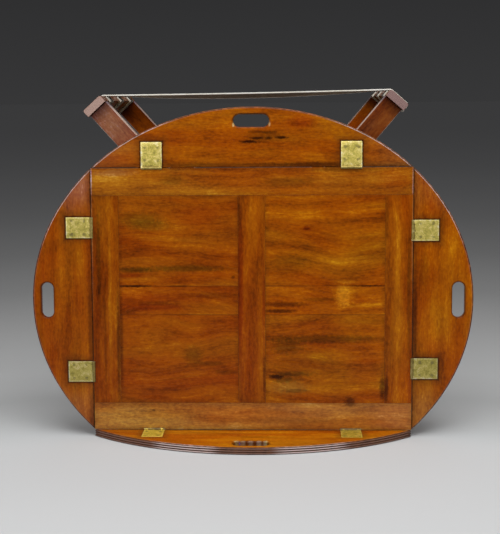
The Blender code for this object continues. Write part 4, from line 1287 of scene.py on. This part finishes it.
# Soft lights: place, the point that each faces, size and power
MIDDLE = (0, -0.15, 0.35)
LIGHTS = {"key": ((0.45, -1.9, 2.7), MIDDLE, (2.4, 1.6), 51),
          "fill": ((-1.8, -2.2, 1.6), MIDDLE, (1.8, 1.8), 16),
          "top": ((0.1, -0.5, 2.6), (0.1, -0.45, 0), (2.4, 1.4), 36),
          "rim": ((0.2, 1.3, 2.4), MIDDLE, (2.6, 1.0), 9)}


def floor():
    """A pale floor whose colour darkens with distance: a painted pool of light."""
    shape = bmesh.new()
    bmesh.ops.create_circle(shape, cap_ends=True, segments=FLOOR_STEPS, radius=FLOOR_RADIUS)
    made = new_object("floor", finished(shape, "floor"))
    made.location = POOL
    material, tree, shader = new_material("floor")
    distance = length(object_space(tree))
    feed(shader, {"Base Color": ramp(POOL_REACH / (distance + POOL_REACH), FLOOR_TONES),
                  "Roughness": 0.8, "Specular IOR Level": 0.0})
    made.data.materials.append(material)


def lighting():
    """Soft light from above and in front, in a dark room."""
    for name, (place, target, size, power) in LIGHTS.items():
        data = bpy.data.lights.new(name, "AREA")
        data.shape = "RECTANGLE"
        data.size, data.size_y = size
        data.energy = power
        made = new_object(name, data)
        made.location = place
        made.rotation_euler = (Vector(target) - Vector(place)).to_track_quat("-Z", "Y").to_euler()
    world = bpy.data.worlds.new("room")
    world.use_nodes = True
    direction = split(add(world.node_tree, "TexCoord", {}, "Generated"))
    feed(world.node_tree.nodes["Background"].inputs, {"Color": ramp(direction.z, ROOM_TONES)})
    bpy.context.scene.world = world


def camera():
    """The camera at the photograph's view."""
    ahead = Vector((sin(CAMERA_YAW) * cos(CAMERA_PITCH), cos(CAMERA_YAW) * cos(CAMERA_PITCH),
                    -sin(CAMERA_PITCH)))
    level = Vector((cos(CAMERA_YAW), -sin(CAMERA_YAW), 0))
    across = cos(CAMERA_ROLL) * level + sin(CAMERA_ROLL) * level.cross(ahead)
    data = bpy.data.cameras.new("camera")
    data.sensor_width = SENSOR
    data.lens = FOCAL_PIXELS * SENSOR / IMAGE_HEIGHT
    made = new_object("camera", data)
    made.matrix_world = placed(CAMERA_PLACE, across, -ahead)
    bpy.context.scene.camera = made
    bpy.context.scene.view_settings.view_transform = "Standard"


def main():
    """The room, the tray with its flaps, and the stand."""
    camera()
    lighting()
    floor()
    tray_panel()
    steel_material = steel()
    for side in SIDES:
        flap(side, *FLAP_WOODS[side.name])
        hinges(side, steel_material)
    stand_frame("outer", 1, ROSY_REFLECTION, OUTER_ENDS, 20)
    stand_frame("inner", -1, CHESTNUT, INNER_ENDS, 30)
    for place in ("front", "rear"):
        for part in ("bolt", "washer", "nut"):
            paint(frame["nodes"][f"{place}_pivot_{part}"], steel_material)
    straps()


main()
